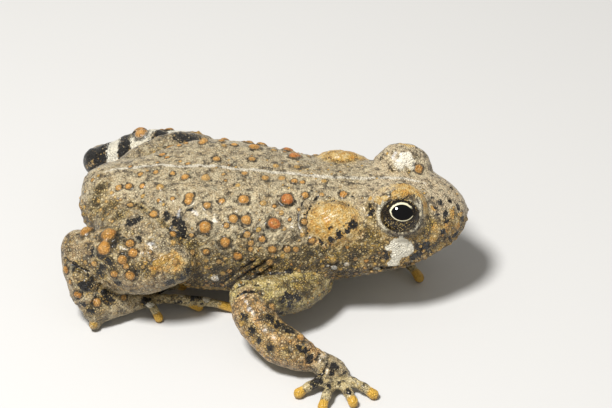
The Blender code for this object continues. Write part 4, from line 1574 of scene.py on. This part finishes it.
def skin_material(colours, sizes):
    """Warty skin: granules with dark gaps and pale tops that are partly painted shade and painted
    highlight, small knobs, golden glands, and warts in dark rings, with painted light on their
    caps.
    """
    s = Shader("toad_skin")
    at = s.place(1 / MM)
    _, _, _, pepper, ground = s.field("ground")
    wart, tone, black, pale, _ = s.field("marks")
    stripe, gold, tip, knobs, _ = s.field("lights")
    broad = s.noise(at, 0.35, 3.0)
    middle = s.noise(at, 1.1, 4.0, 0.6)
    fine = s.noise(at, 4.5, 3.0, 0.65)
    edge = (fine - 0.5) * 0.9 + (middle - 0.5) * 0.9
    bent = s.bend(at, 1.5, 0.5)
    grain, chance, hue, _ = s.cells(bent, sizes.granules)
    wall = s.walls(bent, sizes.granules)
    small, _, _, _ = s.cells(at, sizes.granules * 2.4)
    uneven = s.step(s.noise(at, 0.75, 3.0), 0.4, 0.6)
    clots = s.step(middle + (fine - 0.5) * 0.6, 0.52, 0.59) * s.step(pepper, 0.4, 0.8) * uneven
    pepper = pepper * (uneven * 0.55 + 0.5)

    # The ground, granule by granule, with gaps that widen and darken with the pepper. The dark gaps
    # are partly the skin's own network and partly painted shade between the raised granules; the
    # paler tops are partly pale tips and partly painted highlight.
    colour = s.mix(s.step(broad, 0.45, 0.65) * 0.3, ground, s.mix(0.5, ground, colours.wart_tan))
    # Mottling at two scales, paler where the bump rises and darker where it sinks: partly the
    # skin's own mottling, partly painted highlight and painted shade.
    colour = s.mix(s.step(middle, 0.5, 0.68) * 0.5, colour, s.mix(0.6, ground, colours.cream))
    colour = s.mix(s.step(middle * -1, -0.49, -0.38) * 0.8, colour, colours.shade)
    colour = s.mix(s.step(fine, 0.54, 0.66) * 0.4, colour, colours.cream)
    colour = s.mix(s.step(fine * -1, -0.49, -0.38) * 0.8, colour, colours.shade)
    colour = s.mix(s.step(chance, 0.45, 1.0) * (0.4 - pepper * 0.2), colour, colours.cream)
    golds = s.step(hue + pepper * 0.25, 0.8, 0.88) * (pepper * 0.95)
    colour = s.mix(golds, colour, s.mix(chance, colours.gold, colours.pale_gold))
    # Paler tops of the granules: partly the skin's pale tips, partly painted highlight on the
    # raised granules.
    tops = 1 - s.step(grain + (fine - 0.5) * 0.6, 0.1, 0.38)
    bright = tops * s.step(chance, 0.2, 0.9) * (0.9 - pepper * 0.5)
    colour = s.mix(bright, colour, colours.cream)
    # Dark gaps between granules: partly the skin's dark network, partly painted shade where the
    # bump sinks.
    width = pepper * 0.32 - 0.03 + (middle - 0.5) * -0.6 + (fine - 0.5) * 0.6
    gaps = 1 - s.step(wall - width, -0.06, 0.06)
    colour = s.mix(gaps * (pepper * 0.4 + 0.52), colour, colours.dark)
    colour = s.mix(clots * (1 - tops * 0.6) * 0.92, colour, colours.dark)

    # Fine wrinkles that climb towards the shoulder, with painted shade in their grooves.
    creased, _, _, _, _ = s.field("folds")
    sockets = {"Vector": bent, "Rotation": (0, math.radians(-38), 0), "Scale": (3.0, 1.2, 0.26)}
    run = s.out(s.add("ShaderNodeMapping", {"vector_type": "TEXTURE"}, sockets))
    wrinkle = s.step(s.noise(run, 1.1, 3.0, 0.6), 0.38, 0.52) * creased
    # Painted shade in the grooves of the wrinkles.
    colour = s.mix((creased - wrinkle) * 0.75, colour, colours.dark)

    # Small knobs.
    far, has, warmth, bulk = s.cells(bent, 1.15)
    rim = far - 0.15 - bulk * 0.13 + (fine - 0.5) * 0.15
    present = s.math("LESS_THAN", has, knobs)
    knob = (1 - s.step(rim, -0.06, 0.03)) * present
    shadow = (1 - s.step(rim, 0.02, 0.14)) * present
    stops = (
        (0.0, colours.cream),
        (0.45, colours.pale_gold),
        (0.75, colours.wart_tan),
        (1.0, colours.wart_orange),
    )
    colour = s.mix(shadow * 0.6, colour, colours.dark)
    colour = s.mix(knob * 0.7, colour, s.ramp(warmth, stops))

    # Golden glands, the line along the back, pale patches, blotches with the painted shade of
    # nostrils, mouth, folds and creases, and the tips of digits.
    golden = s.step(gold + edge * 0.9, 0.38, 0.62)
    stops = (
        (0.36, colours.wart_orange),
        (0.46, colours.gold),
        (0.55, colours.pale_gold),
        (0.66, colours.cream),
    )
    glow = s.ramp(middle * 0.55 + fine * 0.45, stops)
    glow = s.mix(gaps * 0.45, glow, s.mix(chance, colours.wart_red, colours.olive))
    glow = s.mix((1 - s.step(small + (middle - 0.5), 0.1, 0.25)) * 0.6, glow, colours.dark)
    colour = s.mix(golden * 0.9, colour, glow)
    line = s.step(stripe + edge * 1.5 + (broad - 0.5) * 0.6, 0.45, 0.8) * (1 - gaps * 0.6)
    colour = s.mix(line * 0.75, colour, colours.stripe)
    patch = s.step(pale * 1.3 + edge * 0.8, 0.52, 0.66)
    colour = s.mix(patch, colour, s.mix(fine, colours.white, colours.cream))
    # Black blotches, together with the painted shade that the black field carries.
    blotch = s.step(black + edge * 0.8 + (chance - 0.5) * 0.35, 0.42, 0.56)
    specked = blotch * (1 - tops * s.step(hue, 0.55, 0.7) * 0.8)
    colour = s.mix(specked, colour, colours.black)
    colour = s.mix(s.step(tip + edge * 0.5, 0.35, 0.7), colour, colours.digit)

    # Warts, with painted highlight on their tops, painted shade down their sides, and dark rings at
    # their feet that are partly painted shade.
    reach = wart * 2.5 + edge * 0.35
    cap = 1 - s.step(reach, 0.78, 0.98)
    skirt = reach + (middle - 0.5) * 1.3 + (fine - 0.5) * 0.6
    ring = s.step(reach, 0.8, 0.98) * (1 - s.step(skirt, 1.0, 1.5))
    stops = (
        (0.0, colours.white),
        (0.3, colours.digit),
        (0.55, colours.wart_tan),
        (0.84, colours.wart_orange),
        (1.0, colours.wart_red),
    )
    head = s.ramp(tone + edge * 0.5, stops)
    # Painted highlight on the top of each dome and painted shade down its sides.
    head = s.mix(s.step(reach * -1, -0.7, 0.0) * 0.4, head, colours.pale_gold)
    head = s.mix(s.step(reach, 0.35, 1.0) * 0.4, head, colours.dark)
    head = s.mix(tops * 0.12, head, colours.cream)
    head = s.mix(gaps * 0.3, head, colours.dark)
    pits = (1 - s.step(small, 0.12, 0.26)) * s.step(fine, 0.48, 0.6)
    head = s.mix(pits * 0.6, head, colours.dark)
    halo = s.step(skirt, 1.3, 1.55) * (1 - s.step(skirt, 1.7, 2.1)) * s.step(tone, 0.6, 0.8)
    colour = s.mix(halo * (0.5 - pepper * 0.8), colour, colours.cream)
    # Dark ring at each wart's foot: partly the skin's own ring, partly painted shade round the
    # dome's base.
    colour = s.mix(ring * s.step(tone, 0.4, 0.7) * 0.85, colour, colours.dark)
    colour = s.mix(cap * 0.95, colour, head)

    grit = s.noise(at, 11.0, 2.0)
    height = s.step(wall, 0.0, 0.3) * (pepper * 0.5 + 0.4) + fine * 0.9
    height = height + middle * 0.8 + grit * 0.35
    height = height + knob * (1 - patch) * 1.1 - (creased - wrinkle) * 0.8
    rough = 0.4 + (fine - 0.5) * 0.5 + gaps * 0.1 - blotch * 0.08
    surface = {"Specular IOR Level": 0.5, "Coat Weight": 0.2, "Coat Roughness": 0.2}
    return s.finish(surface, height, sizes.relief, **{"Base Color": colour, "Roughness": rough})


def eye_material(colours):
    """A wet dark eye: gold flecks, and a level pupil inside a pale line."""
    s = Shader("toad_eye")
    uv = s.add("ShaderNodeUVMap", {"uv_map": "eye"})
    parts = s.add("ShaderNodeSeparateXYZ", None, {0: s.out(uv)})
    u, v = s.out(parts, 0), s.out(parts, 1)
    at = s.place(1 / MM)
    fine = s.noise(at, 5.0, 3.0)
    flecks, _, _, _ = s.cells(at, 5.5)

    def oval(wide, high, lift=0.0):
        """How far a point is from the pupil's middle, as a share of an oval's half sizes."""
        a, b = u * (1 / wide), s.math("ABSOLUTE", v - lift) * (1 / high)
        return s.math("SQRT", a * a + b * b * 0.6 + b * 0.4)

    pupil = oval(1.48, 1.02)
    ring = oval(1.74, 1.26, 0.1) + (fine - 0.5) * 0.2
    iris = s.mix(s.step(fine, 0.45, 0.7), colours.iris, colours.iris_brown)
    low = s.step(v * -1, 0.6, 1.4) * s.step(pupil, 1.05, 1.2)
    gold = (1 - s.step(flecks, 0.16, 0.38)) * (low * 0.85 + 0.1) * s.step(fine, 0.32, 0.46)
    colour = s.mix(gold, iris, colours.fleck)
    arc = v + u * -0.42 + (fine - 0.5) * 0.5
    pale = (1 - s.step(ring, 0.92, 1.0)) * s.step(arc, 0.0, 0.4)
    colour = s.mix(pale, colour, colours.pupil_line)
    under = s.step(pupil, 1.03, 1.08) * (1 - s.step(pupil, 1.1, 1.15)) * s.step(v * -1, 0.2, 0.5)
    colour = s.mix(under, colour, colours.pupil_line)
    rays = s.step(ring, 1.25, 1.3) * (1 - s.step(ring, 1.36, 1.42)) * s.step(fine, 0.5, 0.6)
    colour = s.mix(rays * s.step(v, 0.2, 0.9) * 0.7, colour, colours.fleck)
    colour = s.mix(1 - s.step(pupil, 0.96, 1.01), colour, colours.pupil)
    surface = {"Roughness": 0.1, "Specular IOR Level": 0.0, "Coat Weight": 1.0}
    surface.update({"Coat Roughness": 0.02, "Coat IOR": 1.38})
    return s.finish(surface, **{"Base Color": colour})


def make_eyes(shift):
    """Both eyeballs as one piece, each bulging a little in front, with a map that has the
    pupil's middle at its origin and millimetres as its unit."""
    balls = []
    for side in SIDES:
        axes = np.array(eye_axes(side, PUPIL_FACES))
        bpy.ops.object.select_all(action="DESELECT")
        bpy.ops.mesh.primitive_uv_sphere_add(
            segments=64, ring_count=44, radius=1.0, calc_uvs=False, location=(0, 0, 0)
        )
        ball = bpy.context.object
        flat = []
        for vertex in ball.data.vertices:
            x, y, z = vertex.co
            back = math.atan2(math.hypot(x, y), z)
            turn = math.atan2(y, x)
            flat.append((math.cos(turn) * back * EYE_RADIUS, math.sin(turn) * back * EYE_RADIUS))
            bulge = EYE_BULGE * math.cos(min(back * 1.5, math.pi / 2)) ** 2
            place = on_side(EYE_CENTRE, side) + (x, y, z) @ axes * (EYE_RADIUS + bulge)
            vertex.co = (place + shift) * MM
        bpy.ops.object.mode_set(mode="EDIT")
        bpy.ops.mesh.select_all(action="SELECT")
        bpy.ops.mesh.normals_make_consistent(inside=False)
        bpy.ops.object.mode_set(mode="OBJECT")
        layer = ball.data.uv_layers.new(name="eye")
        for loop in ball.data.loops:
            layer.data[loop.index].uv = flat[loop.vertex_index]
        balls.append(ball)
    select_only(balls[0])
    balls[1].select_set(True)
    bpy.ops.object.join()
    balls[0].name = balls[0].data.name = "eyes"
    balls[0].data.shade_smooth()
    return balls[0]


class ToadColours(bpy.types.PropertyGroup):
    """Colours of the skin and eyes."""


def colour_setting(name, text, value):
    return bpy.props.FloatVectorProperty(
        name=name, description=text, default=value, size=3, subtype="COLOR", min=0.0, max=1.0
    )


COLOURS = {
    "back": ("Back", "Ground colour of the back", (0.53, 0.42, 0.255)),
    "crown": ("Crown", "Ground colour of the top of the head", (0.64, 0.505, 0.32)),
    "flank": ("Flank", "Ground colour of the flanks", (0.54, 0.325, 0.045)),
    "olive": ("Olive", "Ground colour of the darkest areas", (0.47, 0.31, 0.035)),
    "face": ("Face", "Ground colour of the sides of the head", (0.58, 0.33, 0.055)),
    "belly": ("Belly", "Ground colour of the underside", (0.62, 0.55, 0.38)),
    "arm": ("Upper arm", "Ground colour of the upper arms", (0.70, 0.54, 0.17)),
    "forearm": ("Forearm", "Ground colour of the forearms", (0.74, 0.42, 0.15)),
    "leg": ("Leg", "Ground colour of the hind legs", (0.45, 0.30, 0.14)),
    "palm": ("Palm", "Ground colour of hands and feet", (0.54, 0.41, 0.22)),
    "digit_side": ("Digits", "Ground colour of fingers and toes", (0.70, 0.55, 0.26)),
    "cream": ("Cream", "Pale granules", (0.82, 0.71, 0.46)),
    "white": ("White", "Cheek patch and the palest warts", (0.98, 0.96, 0.88)),
    "stripe": ("Stripe", "Line along the back", (0.84, 0.78, 0.64)),
    "gold": ("Gold", "Glands behind the eyes, brows and knees", (0.66, 0.38, 0.075)),
    "pale_gold": ("Pale gold", "Paler parts of the glands", (0.70, 0.50, 0.20)),
    "lid": ("Lower lid", "Lower eyelids", (0.11, 0.08, 0.055)),
    "margin": ("Lid margin", "Pale margins of the eyelids", (0.84, 0.77, 0.58)),
    "shade": ("Shade", "Dark mottling, and the fold between brow and eye", (0.055, 0.042, 0.028)),
    "dark": ("Dark", "Gaps between granules and rings of warts", (0.034, 0.024, 0.010)),
    "black": ("Black", "Blotches, bands and the mouth's line", (0.012, 0.010, 0.008)),
    "digit": ("Digit tips", "Tips of fingers and toes", (0.76, 0.44, 0.06)),
    "wart_tan": ("Wart tan", "Caps of small warts", (0.66, 0.39, 0.12)),
    "wart_orange": ("Wart orange", "Caps of middling warts", (0.72, 0.31, 0.04)),
    "wart_red": ("Wart red", "Caps of the reddest warts", (0.62, 0.17, 0.018)),
    "iris": ("Iris", "Ground colour of the iris", (0.006, 0.005, 0.004)),
    "iris_brown": ("Iris brown", "Mottling of the iris", (0.03, 0.02, 0.01)),
    "fleck": ("Flecks", "Gold flecks of the iris", (0.62, 0.44, 0.16)),
    "pupil_line": ("Pupil line", "Pale line round the pupil", (0.76, 0.70, 0.48)),
    "pupil": ("Pupil", "The pupil", (0.002, 0.002, 0.002)),
}
for key, (label, text, value) in COLOURS.items():
    ToadColours.__annotations__[key] = colour_setting(label, text, value)


class ToadSizes(bpy.types.PropertyGroup):
    """Sizes of the skin's mesh and grain."""

    voxel: bpy.props.FloatProperty(
        name="Mesh size",
        description="Size of the skin's faces",
        default=0.000278,
        min=0.0002,
        unit="LENGTH",
    )
    granules: bpy.props.FloatProperty(
        name="Granules", description="Granules of the skin to a millimetre", default=2.8, min=0.5
    )
    relief: bpy.props.FloatProperty(
        name="Relief",
        description="Height of the granules",
        default=0.0003,
        min=0.0,
        unit="LENGTH",
    )


class ToadStudio(bpy.types.PropertyGroup):
    """The studio's floor, light and camera."""

    floor: colour_setting("Floor", "Colour of the floor", (0.59, 0.58, 0.56))
    key: bpy.props.FloatProperty(
        name="Key light", description="Power of the key light", default=2.95, unit="POWER"
    )
    fill: bpy.props.FloatProperty(
        name="Fill light", description="Strength of the light all round", default=0.34, min=0.0
    )
    azimuth: bpy.props.FloatProperty(
        name="Azimuth",
        description="Way the camera looks from, about the toad",
        default=math.radians(6),
        subtype="ANGLE",
    )
    elevation: bpy.props.FloatProperty(
        name="Elevation",
        description="Height of the camera above the floor, as an angle",
        default=math.radians(37),
        subtype="ANGLE",
    )
    distance: bpy.props.FloatProperty(
        name="Distance",
        description="Distance of the camera from the toad's middle",
        default=0.332,
        unit="LENGTH",
    )
    lens: bpy.props.FloatProperty(
        name="Lens", description="Focal length of the camera", default=145.0, unit="CAMERA"
    )


class TOAD_OT_skin(bpy.types.Operator):
    """Fuse the body's forms into one skin, sculpt its warts and folds and paint it"""

    bl_idname = "toad.skin"
    bl_label = "Make the Skin"

    def execute(self, context):
        scene = context.scene
        limbs = all_limbs()
        obj = form_skin(limbs, scene.toad_sizes.voxel / MM)
        skin, anatomy, marks = sculpt_skin(obj, limbs, scene.toad_studio)
        paint_skin(skin, anatomy, marks, scene.toad_colours)
        obj.data.transform(Matrix.Translation(Vector(frame_shift())))
        obj.data.transform(Matrix.Scale(MM, 4))
        obj.data.shade_smooth()
        obj.data.materials.append(skin_material(scene.toad_colours, scene.toad_sizes))
        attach(obj, "root")
        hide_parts(*(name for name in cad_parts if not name.startswith("eye_")))
        return {"FINISHED"}


class TOAD_OT_eyes(bpy.types.Operator):
    """Make both eyeballs with their irises and pupils"""

    bl_idname = "toad.eyes"
    bl_label = "Make the Eyes"

    def execute(self, context):
        obj = make_eyes(frame_shift())
        obj.data.materials.append(eye_material(context.scene.toad_colours))
        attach(obj, "root")
        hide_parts("eye_left", "eye_right")
        return {"FINISHED"}


class TOAD_OT_studio(bpy.types.Operator):
    """Lay the floor, light it and set the camera"""

    bl_idname = "toad.studio"
    bl_label = "Set the Studio"

    def execute(self, context):
        scene = context.scene
        studio = scene.toad_studio
        bpy.ops.object.select_all(action="DESELECT")
        bpy.ops.mesh.primitive_circle_add(vertices=96, radius=1.6, fill_type="NGON")
        floor = context.object
        floor.name = "floor"
        s = Shader("floor")
        cloud = s.noise(s.place(9.0), 1.0, 2.0)
        tone = s.mix(cloud * 0.06, studio.floor, (0.5, 0.5, 0.5))
        floor.data.materials.append(s.finish({"Roughness": 0.7}, **{"Base Color": tone}))

        world = bpy.data.worlds.new("studio")
        world.use_nodes = True
        back = world.node_tree.nodes["Background"]
        back.inputs["Color"].default_value = (1.0, 0.985, 0.95, 1)
        back.inputs["Strength"].default_value = studio.fill
        scene.world = world
        bpy.ops.object.light_add(type="AREA", location=KEY_PLACE)
        lamp = context.object
        lamp.name = "key"
        lamp.data.shape = "DISK"
        lamp.data.size = KEY_SIZE
        lamp.data.energy = studio.key
        lamp.rotation_euler = Vector(KEY_PLACE).to_track_quat("Z", "Y").to_euler()

        shift = Vector(frame_shift())
        eye, *ways = camera_sight(studio)
        bpy.ops.object.camera_add()
        camera = context.object
        camera.location = (Vector(eye) + shift) * MM
        camera.rotation_euler = Matrix(ways).transposed().to_euler()
        camera.data.lens = studio.lens
        camera.data.sensor_width = FRAME_SENSOR
        camera.data.clip_start = 0.01
        scene.camera = camera
        scene.view_settings.view_transform = "Standard"
        return {"FINISHED"}


class TOAD_PT_panel(bpy.types.Panel):
    """The toad's steps and settings"""

    bl_idname = "TOAD_PT_panel"
    bl_label = "Sitting Toad"
    bl_space_type = "VIEW_3D"
    bl_region_type = "UI"
    bl_category = "Toad"

    def draw(self, context):
        scene = context.scene
        for step in STEPS:
            self.layout.operator(step.bl_idname)
        for settings in (scene.toad_sizes, scene.toad_colours, scene.toad_studio):
            box = self.layout.box()
            for key in settings.__annotations__:
                box.prop(settings, key)


STEPS = (TOAD_OT_skin, TOAD_OT_eyes, TOAD_OT_studio)
GROUPS = {"toad_colours": ToadColours, "toad_sizes": ToadSizes, "toad_studio": ToadStudio}


def register():
    """Adds the classes, and the settings to every scene."""
    for kind in (*GROUPS.values(), *STEPS, TOAD_PT_panel):
        bpy.utils.register_class(kind)
    for name, kind in GROUPS.items():
        setattr(bpy.types.Scene, name, bpy.props.PointerProperty(type=kind))


def unregister():
    """Takes the settings and the classes away again."""
    for name in GROUPS:
        delattr(bpy.types.Scene, name)
    for kind in (TOAD_PT_panel, *reversed(STEPS), *GROUPS.values()):
        bpy.utils.unregister_class(kind)


def main():
    """Makes every piece and the studio."""
    register()
    for step in STEPS:
        group, name = step.bl_idname.split(".")
        getattr(getattr(bpy.ops, group), name)()


if __name__ == "__main__":
    main()
